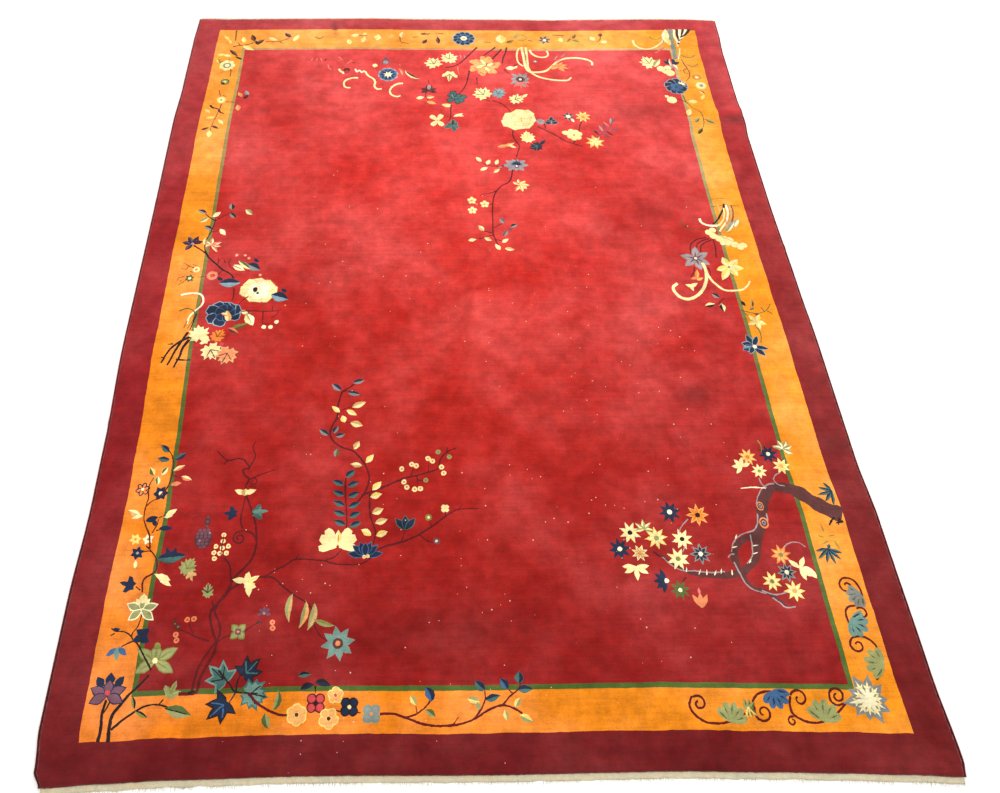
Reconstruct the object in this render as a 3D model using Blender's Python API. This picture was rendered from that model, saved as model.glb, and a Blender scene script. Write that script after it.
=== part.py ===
"""Hand-knotted wool pile rug in the Chinese art deco manner, about 2.8 m by 3.6 m, lying flat.

Five pieces: the pile carpet, a flat-woven cotton band at each end, and an overcast selvedge
cord down each side.  +X runs across the rug, +Y along it and +Z up.  The floor is Z = 0, and the
origin is the middle of the underside.  The weaver never held the edges dead straight, so each
of the four edges has a short table of how far it strays from the nominal rectangle.
"""

import bisect
import math

import bmesh
import bpy

# ---- Driving dimensions, in metres ----
PILE_HALF_WIDTH = 1.365
PILE_HALF_LENGTH = 1.785
PILE_THICKNESS = 0.013
PILE_SHOULDER = 0.004
SHOULDER_STEPS = 3

BAND_WIDTH = 0.018
BAND_THICKNESS = 0.0035
BAND_CHAMFER = 0.001

CORD_WIDTH = 0.008
CORD_HEIGHT = 0.009

GAP = 0.0003

CELLS_ACROSS = 28
CELLS_ALONG = 36

# How far each side stands outside its nominal line: (place along Y, outwards).
LEFT_SWAY = (
    (-1.785, -0.020), (-1.740, 0.002), (-1.620, 0.015), (-1.250, 0.016), (-0.930, 0.007),
    (-0.700, 0.009), (-0.250, 0.022), (0.500, 0.020), (1.000, 0.022), (1.250, 0.013),
    (1.600, 0.010), (1.785, 0.003),
)
RIGHT_SWAY = (
    (-1.785, 0.015), (-1.740, 0.022), (-1.500, 0.011), (-1.000, 0.006), (-0.750, -0.007),
    (-0.250, -0.007), (0.000, -0.013), (0.500, -0.021), (0.900, -0.020), (1.020, -0.011),
    (1.180, -0.016), (1.500, -0.012), (1.700, -0.001), (1.785, 0.001),
)
# How far each end stands outside its nominal line: (place along X, outwards).
NEAR_SWAY = (
    (-1.365, 0.006), (-1.200, -0.002), (-1.000, -0.009), (-0.600, -0.014), (0.000, -0.009),
    (0.500, -0.011), (0.800, -0.004), (1.000, 0.002), (1.200, 0.009), (1.365, 0.017),
)
FAR_SWAY = (
    (-1.365, 0.013), (-1.200, 0.009), (-0.800, 0.013), (-0.500, 0.017), (-0.200, 0.010),
    (0.200, 0.007), (0.500, 0.001), (0.800, 0.006), (1.000, 0.010), (1.200, 0.008),
    (1.365, -0.003),
)

# Sections of the edge pieces: (outwards from the pile's edge, height above the floor).
BAND_SECTION = (
    (GAP, 0.0),
    (GAP + BAND_WIDTH, 0.0),
    (GAP + BAND_WIDTH, BAND_THICKNESS - BAND_CHAMFER),
    (GAP + BAND_WIDTH - BAND_CHAMFER, BAND_THICKNESS),
    (GAP, BAND_THICKNESS),
)
CORD_SECTION = (
    (GAP + 0.25 * CORD_WIDTH, 0.0),
    (GAP + 0.75 * CORD_WIDTH, 0.0),
    (GAP + CORD_WIDTH, 0.28 * CORD_HEIGHT),
    (GAP + CORD_WIDTH, 0.68 * CORD_HEIGHT),
    (GAP + 0.75 * CORD_WIDTH, CORD_HEIGHT),
    (GAP + 0.25 * CORD_WIDTH, CORD_HEIGHT),
    (GAP, 0.68 * CORD_HEIGHT),
    (GAP, 0.28 * CORD_HEIGHT),
)


def sway(table, place):
    """The stray at a place along an edge, eased from row to row so that it never overshoots."""
    places = [row[0] for row in table]
    if place <= places[0]:
        return table[0][1]
    if place >= places[-1]:
        return table[-1][1]
    row = bisect.bisect_right(places, place) - 1
    (start, stray), (end, next_stray) = table[row], table[row + 1]
    share = (place - start) / (end - start)
    ease = share * share * (3.0 - 2.0 * share)
    return stray + (next_stray - stray) * ease


def on_the_floor(across, along):
    """Where a knot at (across, along) of the nominal rectangle really lies."""
    right = (across / PILE_HALF_WIDTH + 1.0) / 2.0
    far = (along / PILE_HALF_LENGTH + 1.0) / 2.0
    x = across + right * sway(RIGHT_SWAY, along) - (1.0 - right) * sway(LEFT_SWAY, along)
    y = along + far * sway(FAR_SWAY, across) - (1.0 - far) * sway(NEAR_SWAY, across)
    return x, y


def stations(half_length, cells):
    """Evenly spaced places from one end of an edge to the other."""
    return [half_length * (2.0 * i / cells - 1.0) for i in range(cells + 1)]


def material(name, color, roughness):
    """A cloth finish: no metal, a little soft sheen."""
    finish = bpy.data.materials.new(name)
    finish.use_nodes = True
    shader = finish.node_tree.nodes["Principled BSDF"]
    shader.inputs["Base Color"].default_value = (*color, 1.0)
    shader.inputs["Roughness"].default_value = roughness
    shader.inputs["Metallic"].default_value = 0.0
    return finish


def add_piece(name, bm, finish):
    """Makes the named object from the mesh, with its faces turned outwards."""
    bmesh.ops.recalc_face_normals(bm, faces=bm.faces)
    mesh = bpy.data.meshes.new(name)
    bm.to_mesh(mesh)
    bm.free()
    mesh.materials.append(finish)
    piece = bpy.data.objects.new(name, mesh)
    bpy.context.scene.collection.objects.link(piece)
    return piece


def pile_carpet(finish):
    """The knotted carpet: a slab in the rug's true outline, its upper edge rounded over."""
    bm = bmesh.new()
    bmesh.ops.create_grid(bm, x_segments=CELLS_ACROSS, y_segments=CELLS_ALONG, size=1.0)
    for vert in bm.verts:
        across = vert.co.x * PILE_HALF_WIDTH
        along = vert.co.y * PILE_HALF_LENGTH
        x, y = on_the_floor(across, along)
        vert.co = (x, y, 0.0)
    raised = bmesh.ops.extrude_face_region(bm, geom=bm.faces[:])["geom"]
    top_verts = [item for item in raised if isinstance(item, bmesh.types.BMVert)]
    bmesh.ops.translate(bm, verts=top_verts, vec=(0.0, 0.0, PILE_THICKNESS))
    bmesh.ops.recalc_face_normals(bm, faces=bm.faces)
    bm.normal_update()
    rim = [
        edge for edge in bm.edges
        if all(vert.co.z > PILE_THICKNESS / 2 for vert in edge.verts)
        and edge.calc_face_angle() > math.radians(45)
    ]
    bmesh.ops.bevel(
        bm, geom=rim, offset=PILE_SHOULDER, offset_type="OFFSET",
        segments=SHOULDER_STEPS, profile=0.5, affect="EDGES",
    )
    add_piece("pile_carpet", bm, finish)


def edge_piece(name, path, section, direction, finish):
    """Extrudes a section along one edge of the carpet, station by station.

    The section's first column is measured from the edge along direction, a unit (x, y)."""
    bm = bmesh.new()

    def ring(station):
        x, y = station
        return [(x + direction[0] * out, y + direction[1] * out, up) for out, up in section]

    face = bm.faces.new([bm.verts.new(corner) for corner in ring(path[0])])
    for station in path[1:]:
        grown = bmesh.ops.extrude_face_region(bm, geom=[face], use_keep_orig=True)["geom"]
        if station != path[1]:
            bmesh.ops.delete(bm, geom=[face], context="FACES_ONLY")
        face = next(item for item in grown if isinstance(item, bmesh.types.BMFace))
        for vert, corner in zip(face.verts, ring(station)):
            vert.co = corner
    add_piece(name, bm, finish)


for old in list(bpy.data.objects):
    bpy.data.objects.remove(old, do_unlink=True)

crimson_wool = material("crimson_wool_pile", (0.42, 0.016, 0.012), 0.85)
cotton = material("undyed_cotton", (0.80, 0.72, 0.52), 0.90)
wrap_wool = material("maroon_wrapping_wool", (0.20, 0.020, 0.022), 0.88)

pile_carpet(crimson_wool)

across_stations = stations(PILE_HALF_WIDTH, CELLS_ACROSS)
along_stations = stations(PILE_HALF_LENGTH, CELLS_ALONG)
near_edge = [on_the_floor(place, -PILE_HALF_LENGTH) for place in across_stations]
far_edge = [on_the_floor(place, PILE_HALF_LENGTH) for place in across_stations]
left_edge = [on_the_floor(-PILE_HALF_WIDTH, place) for place in along_stations]
right_edge = [on_the_floor(PILE_HALF_WIDTH, place) for place in along_stations]

edge_piece("end_band_near", near_edge, BAND_SECTION, (0.0, -1.0), cotton)
edge_piece("end_band_far", far_edge, BAND_SECTION, (0.0, 1.0), cotton)
edge_piece("selvedge_left", left_edge, CORD_SECTION, (-1.0, 0.0), wrap_wool)
edge_piece("selvedge_right", right_edge, CORD_SECTION, (1.0, 0.0), wrap_wool)
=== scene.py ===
"""A hand-knotted wool pile rug in the Chinese art deco manner, lying flat on a pale floor.

The rug is built as it is made: the knotted pile with its grounds and flower sprays, the
flat-woven cotton band at each end, and the overcast selvedge down each side.  Sizes are metres.
"""

import bisect
import math

import bpy
import numpy as np
from mathutils import Matrix, Vector, noise
from mathutils.geometry import delaunay_2d_cdt


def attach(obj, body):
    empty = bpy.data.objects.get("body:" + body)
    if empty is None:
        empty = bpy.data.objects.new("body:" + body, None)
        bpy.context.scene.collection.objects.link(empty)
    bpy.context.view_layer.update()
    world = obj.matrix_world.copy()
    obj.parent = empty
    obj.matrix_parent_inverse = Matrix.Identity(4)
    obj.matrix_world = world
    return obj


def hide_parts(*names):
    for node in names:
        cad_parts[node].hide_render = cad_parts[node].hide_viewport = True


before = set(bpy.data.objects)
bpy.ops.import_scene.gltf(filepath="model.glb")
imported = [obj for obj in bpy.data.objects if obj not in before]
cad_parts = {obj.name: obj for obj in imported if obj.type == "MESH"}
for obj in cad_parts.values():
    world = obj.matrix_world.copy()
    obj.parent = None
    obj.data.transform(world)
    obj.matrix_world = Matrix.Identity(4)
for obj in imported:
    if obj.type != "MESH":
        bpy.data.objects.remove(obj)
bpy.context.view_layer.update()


# ---------------------------------------------------------------------------------------------
# Camera, floor and light.
# The rug lies on a plain pale floor under broad soft lamps; the brightest stands beyond the
# far end, so the pile there looks paler and the near end deeper.
# ---------------------------------------------------------------------------------------------

lens = bpy.data.cameras.new("camera")
lens.sensor_width = 36.0
lens.lens = 26.06
lens.shift_x = 0.07
lens.clip_end = 60.0
camera = bpy.data.objects.new("camera", lens)
bpy.context.scene.collection.objects.link(camera)
camera_turn = (
    Matrix.Rotation(math.radians(-1.94), 4, "Z")
    @ Matrix.Rotation(math.radians(28.83), 4, "X")
    @ Matrix.Rotation(math.radians(1.23), 4, "Z")
)
camera.matrix_world = Matrix.Translation((-0.233, -1.824, 2.4185)) @ camera_turn
bpy.context.scene.camera = camera
bpy.context.scene.view_settings.view_transform = "Standard"


def set_inputs(shader, **values):
    """Sets constants on a node's own sockets, the names written with underscores."""
    for name, value in values.items():
        shader.inputs[name.replace("_", " ")].default_value = value


bpy.ops.object.select_all(action="DESELECT")
bpy.ops.mesh.primitive_plane_add(size=16.0, location=(0.0, 0.0, -0.0004))
floor = bpy.context.object
floor.name = "studio_floor"
floor_paint = bpy.data.materials.new("pale_floor")
floor_paint.use_nodes = True
set_inputs(
    floor_paint.node_tree.nodes["Principled BSDF"],
    Base_Color=(0.90, 0.90, 0.89, 1.0), Roughness=0.9, Specular_IOR_Level=0.1,
)
floor.data.materials.append(floor_paint)

# Soft lamps: (name, place, aimed at, width, height, watts, colour).
LAMPS = (
    ("window_beyond_far_end", (1.2, 4.6, 3.2), (0.2, 0.8, 0.0), 3.6, 2.0, 120.0, (1.0, 0.98, 0.95)),
    ("ceiling_panel", (0.0, 0.0, 4.2), (0.0, 0.0, 0.0), 4.0, 4.0, 120.0, (1.0, 0.98, 0.94)),
    ("fill_from_right", (4.2, 0.6, 2.4), (0.5, 0.0, 0.0), 2.0, 2.0, 35.0, (1.0, 0.97, 0.93)),
)
for name, place, aim, width, height, watts, colour in LAMPS:
    light = bpy.data.lights.new(name, "AREA")
    light.shape = "RECTANGLE"
    light.size = width
    light.size_y = height
    light.energy = watts
    light.color = colour
    lamp = bpy.data.objects.new(name, light)
    bpy.context.scene.collection.objects.link(lamp)
    lamp.location = place
    lamp.rotation_euler = (Vector(aim) - Vector(place)).to_track_quat("-Z", "Y").to_euler()

studio = bpy.data.worlds.new("studio")
studio.use_nodes = True
studio.node_tree.nodes["Background"].inputs["Color"].default_value = (1.0, 0.99, 0.975, 1.0)
studio.node_tree.nodes["Background"].inputs["Strength"].default_value = 0.75
bpy.context.scene.world = studio


# ---------------------------------------------------------------------------------------------
# The pile: hand-knotted wool, one cloth 2.73 m by 3.57 m, cut level and carved along the
# outlines of its sprays.  The weaver's edges wander a little, so each edge has a short table
# of how far it strays from the nominal rectangle; the grounds stray with it.
# ---------------------------------------------------------------------------------------------

PILE_HALF_WIDTH = 1.365
PILE_HALF_LENGTH = 1.785
PILE_TOP = 0.0126
SHOULDER_RINGS = ((0.0075, 0.0), (0.0036, 0.0014), (0.0010, 0.0040), (0.0000, 0.0072))
PILE_FOOT = 0.0004

# How far each edge stands outside its nominal line: (place along the edge, outwards).
LEFT_SWAY = (
    (-1.785, -0.020), (-1.740, 0.002), (-1.620, 0.015), (-1.250, 0.016), (-0.930, 0.007),
    (-0.700, 0.009), (-0.250, 0.022), (0.500, 0.020), (1.000, 0.022), (1.250, 0.013),
    (1.600, 0.010), (1.785, 0.003),
)
RIGHT_SWAY = (
    (-1.785, 0.015), (-1.740, 0.022), (-1.500, 0.011), (-1.000, 0.006), (-0.750, -0.007),
    (-0.250, -0.007), (0.000, -0.013), (0.500, -0.021), (0.900, -0.020), (1.020, -0.011),
    (1.180, -0.016), (1.500, -0.012), (1.700, -0.001), (1.785, 0.001),
)
NEAR_SWAY = (
    (-1.365, 0.006), (-1.200, -0.002), (-1.000, -0.009), (-0.600, -0.014), (0.000, -0.009),
    (0.500, -0.011), (0.800, -0.004), (1.000, 0.002), (1.200, 0.009), (1.365, 0.017),
)
FAR_SWAY = (
    (-1.365, 0.013), (-1.200, 0.009), (-0.800, 0.013), (-0.500, 0.017), (-0.200, 0.010),
    (0.200, 0.007), (0.500, 0.001), (0.800, 0.006), (1.000, 0.010), (1.200, 0.008),
    (1.365, -0.003),
)


def sway(table, place):
    """The stray at a place along an edge, eased from row to row so that it never overshoots."""
    places = [row[0] for row in table]
    if place <= places[0]:
        return table[0][1]
    if place >= places[-1]:
        return table[-1][1]
    row = bisect.bisect_right(places, place) - 1
    (start, stray), (end, next_stray) = table[row], table[row + 1]
    share = (place - start) / (end - start)
    ease = share * share * (3.0 - 2.0 * share)
    return stray + (next_stray - stray) * ease


def on_the_floor(across, along):
    """Where a knot at (across, along) of the nominal rectangle really lies."""
    right = (across / PILE_HALF_WIDTH + 1.0) / 2.0
    far = (along / PILE_HALF_LENGTH + 1.0) / 2.0
    x = across + right * sway(RIGHT_SWAY, along) - (1.0 - right) * sway(LEFT_SWAY, along)
    y = along + far * sway(FAR_SWAY, across) - (1.0 - far) * sway(NEAR_SWAY, across)
    return x, y


# Dyed yarns of the sprays, as red, green and blue parts of 255.
YARNS = {
    "crimson": (178, 26, 24), "maroon_ground": (120, 12, 16), "gold": (240, 150, 30),
    "line_green": (84, 112, 44),
    "cream": (246, 226, 160), "ivory": (250, 238, 196), "straw": (240, 208, 110),
    "tan": (206, 164, 104), "peach": (240, 168, 92), "orange": (232, 126, 36),
    "salmon": (222, 132, 84), "pink": (226, 110, 96), "rose": (200, 60, 60),
    "navy": (22, 36, 62), "blue": (62, 98, 138), "sky": (132, 160, 172),
    "teal": (62, 104, 98), "sea": (104, 140, 128), "grey": (132, 134, 128),
    "dove": (160, 146, 146), "plum": (112, 72, 88), "olive": (126, 128, 58),
    "sage": (150, 152, 96), "moss": (84, 96, 44), "bark": (88, 44, 42),
    "wine": (92, 10, 16), "black": (34, 18, 20), "brown": (120, 66, 34),
}


def linear(colour):
    """Red, green and blue parts of 255 as light values."""
    parts = np.asarray(colour, float) / 255.0
    return np.where(parts <= 0.04045, parts / 12.92, ((parts + 0.055) / 1.055) ** 2.4)


# Grounds are painted paler and pinker towards the far end and deeper at the near end, and differ side to
# side: painted light and sheen, as if lit from beyond the far end, with some tone of the dye.
# (place along Y, colour at the left, in the middle, at the right).
FIELD_PAINTED_LIGHT = (
    (-1.55, (126, 10, 12), (140, 16, 14), (138, 16, 16)),
    (-1.00, (150, 18, 16), (164, 26, 20), (150, 22, 20)),
    (-0.30, (170, 28, 24), (186, 38, 30), (168, 30, 28)),
    (0.60, (184, 38, 34), (206, 50, 44), (186, 42, 40)),
    (1.55, (190, 44, 42), (214, 58, 56), (202, 56, 56)),
)
BORDER_PAINTED_LIGHT = (
    (-1.79, (104, 8, 14), (106, 6, 12), (110, 8, 12)),
    (-1.00, (132, 14, 20), (120, 10, 14), (118, 10, 14)),
    (0.00, (150, 22, 28), (140, 20, 22), (136, 20, 22)),
    (1.00, (158, 28, 34), (160, 30, 34), (164, 34, 38)),
    (1.79, (170, 44, 50), (180, 50, 54), (184, 52, 58)),
)
GOLD_PAINTED_LIGHT = (
    (-1.67, (226, 120, 20), (232, 130, 24), (240, 146, 34)),
    (-0.60, (238, 134, 24), (240, 140, 28), (242, 146, 30)),
    (0.60, (244, 144, 30), (244, 148, 32), (244, 150, 34)),
    (1.69, (240, 150, 50), (240, 156, 58), (244, 156, 50)),
)
LINE_PAINTED_LIGHT = (
    (-1.55, (70, 92, 34), (72, 96, 34), (78, 104, 40)),
    (-0.60, (80, 100, 40), (84, 104, 42), (86, 108, 48)),
    (0.40, (128, 120, 60), (130, 120, 62), (140, 134, 80)),
    (1.55, (178, 150, 84), (200, 140, 90), (196, 170, 118)),
)
GROUND_PAINTED_LIGHT = {
    "crimson": FIELD_PAINTED_LIGHT, "maroon_ground": BORDER_PAINTED_LIGHT, "gold": GOLD_PAINTED_LIGHT,
    "line_green": LINE_PAINTED_LIGHT,
}


def with_painted_light(table, x, y):
    """The ground's colour at each place, with its painted light and sheen, blended between the rows and
    columns of its table.
    """
    rows = np.array([[linear(colour) for colour in row[1:]] for row in table])
    places = np.array([row[0] for row in table])
    column = np.clip((x + 1.3) / 1.3, 0.0, 2.0)
    low = np.minimum(column.astype(int), 1)
    side = (column - low)[:, None]
    step = np.clip(np.searchsorted(places, y) - 1, 0, len(places) - 2)
    share = np.clip((y - places[step]) / (places[step + 1] - places[step]), 0.0, 1.0)[:, None]
    here = rows[step, low] * (1.0 - side) + rows[step, low + 1] * side
    there = rows[step + 1, low] * (1.0 - side) + rows[step + 1, low + 1] * side
    return here * (1.0 - share) + there * share


hand = np.random.default_rng(1926)
patches = []


def lay(outline, yarn, shake=0.0005):
    """One patch of yarn over what is knotted so far; a knotter's outline is never quite true."""
    points = np.asarray(outline, float)
    points = points + hand.normal(0.0, shake, points.shape)
    patches.append((points, yarn))


def smooth_line(points, step=0.007):
    """A flowing line through given points."""
    spots = [np.asarray(point[:2], float) for point in points]
    spots = [2 * spots[0] - spots[1]] + spots + [2 * spots[-1] - spots[-2]]
    line = []
    for before, here, there, after in zip(spots, spots[1:], spots[2:], spots[3:]):
        pieces = max(1, int(round(np.linalg.norm(there - here) / step)))
        for piece in range(pieces):
            t = piece / pieces
            line.append(
                0.5 * (2 * here + (there - before) * t
                       + (2 * before - 5 * here + 4 * there - after) * t * t
                       + (3 * here - before - 3 * there + after) * t ** 3)
            )
    line.append(spots[-2])
    return np.array(line)


def ribbon(line, widths, yarn):
    """A band of yarn of changing width along a line."""
    run = np.gradient(line, axis=0)
    run = run / np.maximum(np.linalg.norm(run, axis=1), 1e-9)[:, None]
    aside = np.stack([-run[:, 1], run[:, 0]], axis=1)
    half = np.asarray(widths, float)[:, None] / 2.0
    lay(np.concatenate([line + aside * half, (line - aside * half)[::-1]]), yarn)


def stem(points, yarn="wine", width=0.007, tip=0.6, step=0.007):
    """A stem or tendril that thins towards its tip."""
    line = smooth_line(points, step)
    ribbon(line, np.linspace(width, width * tip, len(line)), yarn)


# The grounds: border, gold band, thin green line, field.  Each is inside the one before.
# (yarn, left, right, near, far, how far its hand-knotted edge wanders).
GROUNDS = (
    ("gold", -1.248, 1.248, -1.673, 1.692, 0.0022),
    ("line_green", -1.1120, 1.1120, -1.552, 1.545, 0.0014),
    ("crimson", -1.0965, 1.0965, -1.5365, 1.5295, 0.0014),
)
GROUND_STEP = 0.014


def wandering_edge(left, right, near, far, wander, shift=0.0):
    """The closed edge of a ground, with the slow wander of hand knotting."""
    corners = ((left, near), (right, near), (right, far), (left, far))
    line = []
    for (x0, y0), (x1, y1) in zip(corners, corners[1:] + corners[:1]):
        steps = int(round(math.hypot(x1 - x0, y1 - y0) / GROUND_STEP))
        outward = (math.copysign(1.0, y1 - y0) if x0 == x1 else 0.0,
                   -math.copysign(1.0, x1 - x0) if y0 == y1 else 0.0)
        for step in range(steps):
            x = x0 + (x1 - x0) * step / steps
            y = y0 + (y1 - y0) * step / steps
            drift = wander * noise.noise((x * 9.0, y * 9.0, left * 7.0))
            drift += 0.5 * wander * noise.noise((x * 31.0, y * 31.0, near * 5.0)) + shift
            line.append(on_the_floor(x + outward[0] * drift, y + outward[1] * drift))
    return line


for yarn, left, right, near, far, wander in GROUNDS:
    lay(wandering_edge(left, right, near, far, wander), yarn, 0.0003)


# ---- Motifs: petals, leaves and stems, each a few patches of yarn ----

# The weaver counts the pattern from a knot just off the middle of the cloth.
PATTERN_ZERO = (0.004, 0.006)

# Outlines of petals and leaves: (share of the length, share of the half width).
ROUND = ((0.0, 0.30), (0.22, 0.66), (0.45, 0.92), (0.68, 1.0), (0.87, 0.74), (0.97, 0.34))
POINTED = ((0.0, 0.26), (0.18, 0.62), (0.40, 0.96), (0.60, 0.94), (0.80, 0.56), (1.0, 0.0))
STAR = ((0.0, 0.42), (0.20, 0.80), (0.42, 1.0), (0.66, 0.70), (1.0, 0.0))
LEAF = ((0.0, 0.0), (0.14, 0.54), (0.34, 0.94), (0.54, 1.0), (0.76, 0.62), (1.0, 0.0))
NOTCHED = ((0.0, 0.30), (0.25, 0.66), (0.52, 0.98), (0.76, 1.0), (0.96, 0.62))


def knots_from(points):
    return np.asarray(points, float) + PATTERN_ZERO


def blade(at, length, width, turn, shape=LEAF, bend=0.0):
    """The midrib and the two sides of a petal or leaf that grows from its foot."""
    finer = []
    for (t0, w0), (t1, w1) in zip(shape, shape[1:]):
        pieces = max(1, int(round((t1 - t0) * length / 0.008)))
        finer += [(t0 + (t1 - t0) * i / pieces, w0 + (w1 - w0) * i / pieces) for i in range(pieces)]
    finer.append(shape[-1])
    rib, left, right = [], [], []
    spot = np.array(at[:2], float)
    before = 0.0
    for t, w in finer:
        angle = math.radians(turn + bend * (t - 0.5))
        heading = np.array([math.cos(angle), math.sin(angle)])
        spot = spot + heading * (t - before) * length
        before = t
        aside = np.array([-heading[1], heading[0]]) * w * width / 2.0
        rib.append(spot)
        left.append(spot + aside)
        right.append(spot - aside)
    return rib, left, right


def leaf(at, length, width, turn, yarn, other=None, vein=None, shape=LEAF, bend=0.0, shade_side=1):
    """A leaf or petal of one yarn, or of two with the midrib between; vein adds a drawn midrib."""
    rib, left, right = blade(at, length, width, turn, shape, bend)
    lay(knots_from(left + right[::-1]), yarn)
    if other:
        half = left if shade_side > 0 else right
        lay(knots_from(half + rib[::-1]), other)
    if vein:
        line = knots_from(rib)[: max(3, int(len(rib) * 0.85))]
        ribbon(line, np.linspace(0.0042, 0.0024, len(line)), vein)


def middle_leaf(at, length, width, turn, yarn, other=None, vein=None, shape=LEAF, bend=0.0, shade_side=1):
    """A leaf placed by its middle."""
    angle = math.radians(turn)
    foot = (at[0] - math.cos(angle) * length / 2, at[1] - math.sin(angle) * length / 2)
    leaf(foot, length, width, turn, yarn, other, vein, shape, bend, shade_side)


def leaves(rows):
    """A table of leaves, each placed by its middle."""
    for x, y, length, width, turn, *rest in rows:
        middle_leaf((x, y), length, width, turn, *rest)


def rimmed(at, length, width, turn, yarn, rim, rim_width=0.0045, shape=ROUND, bend=0.0):
    """A petal with an outline: the outline's yarn first, the smaller petal over it."""
    leaf(at, length, width, turn, rim, shape=shape, bend=bend)
    angle = math.radians(turn - bend / 2)
    foot = (at[0] + math.cos(angle) * rim_width * 0.7, at[1] + math.sin(angle) * rim_width * 0.7)
    leaf(foot, length - 1.7 * rim_width, width - 1.9 * rim_width, turn, yarn, shape=shape, bend=bend)


def disc(at, size, yarn, squash=1.0, turn=0.0, sides=None):
    """A small round of one yarn."""
    total = sides or max(8, int(math.pi * size / 0.006))
    c, s = math.cos(math.radians(turn)), math.sin(math.radians(turn))
    ring = []
    for i in range(total):
        a = 2 * math.pi * i / total
        u, v = size / 2 * math.cos(a), size / 2 * squash * math.sin(a)
        ring.append((at[0] + u * c - v * s, at[1] + u * s + v * c))
    lay(knots_from(ring), yarn)


def flower(at, size, count, yarn, rim=None, eye=None, turn=90.0, shape=ROUND, fat=1.0, squash=1.0,
           eye_size=0.22, rim_width=0.0045, core=None, tips=None, sweep=360.0, start=None):
    """An open flower: petals round a middle, every other one laid under its neighbours."""
    first = turn if start is None else start
    reach = size / 2.0
    width = fat * 2.0 * math.pi * reach * 0.62 / count * (sweep / 360.0 if sweep < 360 else 1.0)
    order = list(range(0, count, 2)) + list(range(1, count, 2))
    for k in order:
        share = k / count if sweep >= 360 else k / max(1, count - 1)
        angle = math.radians(first + sweep * share)
        length = reach * math.hypot(math.cos(angle), squash * math.sin(angle))
        bearing = math.degrees(math.atan2(squash * math.sin(angle), math.cos(angle)))
        if rim:
            rimmed(at, length, width, bearing, yarn, rim, rim_width, shape)
        else:
            leaf(at, length, width, bearing, yarn, shape=shape)
        if core:
            leaf(at, length * 0.66, width * 0.42, bearing, core, shape=STAR)
        if tips:
            tip = (at[0] + math.cos(math.radians(bearing)) * length * 0.62,
                   at[1] + math.sin(math.radians(bearing)) * length * 0.62)
            leaf(tip, length * 0.36, width * 0.5, bearing, tips, shape=STAR)
    if eye:
        disc(at, size * eye_size, eye)


def ring_flower(at, size, yarn, eye, rim=None):
    """A small round flower: rings of yarn about an eye."""
    if rim:
        disc(at, size, rim)
        disc(at, size * 0.80, yarn)
    else:
        disc(at, size, yarn)
    disc(at, size * 0.42, eye)


def scallop(at, size, lobes, yarn, eye, gap, turn=90.0):
    """A plum blossom: round petals that touch, with thin dark gaps and a dark eye."""
    for k in range(lobes):
        angle = math.radians(turn + 360.0 * k / lobes)
        spot = (at[0] + math.cos(angle) * size * 0.27, at[1] + math.sin(angle) * size * 0.27)
        disc(spot, size * 0.62 * 5.0 / lobes if lobes > 5 else size * 0.50, gap)
    for k in range(lobes):
        angle = math.radians(turn + 360.0 * k / lobes)
        spot = (at[0] + math.cos(angle) * size * 0.29, at[1] + math.sin(angle) * size * 0.29)
        disc(spot, size * 0.36, yarn)
    disc(at, size * 0.20, eye)


def spoked(at, size, turn, table, yarn, squash=1.0):
    """An outline from a short table of (degrees from the tip, reach), the same on both sides."""
    outline = []
    for side in (1, -1):
        rows = table if side > 0 else table[::-1]
        for degrees, reach in rows:
            if side < 0 and degrees in (0, 180):
                continue
            angle = math.radians(side * degrees)
            u, v = reach * size * math.cos(angle), reach * size * squash * math.sin(angle)
            c, s = math.cos(math.radians(turn)), math.sin(math.radians(turn))
            outline.append((at[0] + u * c - v * s, at[1] + u * s + v * c))
    lay(knots_from(outline), yarn)


IVY_LEAF = ((0, 0.62), (14, 0.44), (24, 0.34), (44, 0.56), (62, 0.36), (78, 0.28), (104, 0.48),
            (126, 0.28), (150, 0.20), (180, 0.12))
VINE_LEAF = ((0, 0.58), (12, 0.42), (24, 0.50), (36, 0.34), (52, 0.56), (66, 0.38), (82, 0.46),
             (98, 0.30), (118, 0.46), (138, 0.30), (160, 0.34), (180, 0.16))
THREE_LOBED = ((0, 0.62), (16, 0.40), (32, 0.24), (60, 0.50), (84, 0.44), (112, 0.28), (150, 0.34),
               (180, 0.22))
RAGGED_LEAF = ((0, 0.60), (10, 0.46), (18, 0.52), (30, 0.36), (42, 0.50), (56, 0.34), (72, 0.46),
               (90, 0.30), (112, 0.42), (136, 0.28), (162, 0.36), (180, 0.24))


def lobed_leaf(at, size, turn, yarn, rim=None, vein=None, table=IVY_LEAF, other=None, squash=1.0):
    """A leaf with points or lobes, its outline and veins drawn in other yarns."""
    if rim:
        spoked(at, size, turn, table, rim, squash)
        spoked(at, size * 0.80, turn, table, yarn, squash)
    else:
        spoked(at, size, turn, table, yarn, squash)
    if other:
        half = [row for row in table]
        outline = []
        c, s = math.cos(math.radians(turn)), math.sin(math.radians(turn))
        for degrees, reach in half:
            angle = math.radians(degrees)
            u, v = reach * size * math.cos(angle), reach * size * squash * math.sin(angle)
            outline.append((at[0] + u * c - v * s, at[1] + u * s + v * c))
        lay(knots_from(outline), other)
    if vein:
        for degrees, reach in ((0, 0.48), (50, 0.36), (-50, 0.36)):
            angle = math.radians(turn + degrees)
            end = (at[0] + math.cos(angle) * size * reach, at[1] + math.sin(angle) * size * reach)
            ribbon(smooth_line(knots_from([at, end])), [0.004] * len(smooth_line(knots_from([at, end]))),
                vein)


def line_of(points, yarn="wine", width=0.007, tip=0.6, step=0.007):
    stem(knots_from(points), yarn, width, tip, step)


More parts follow.
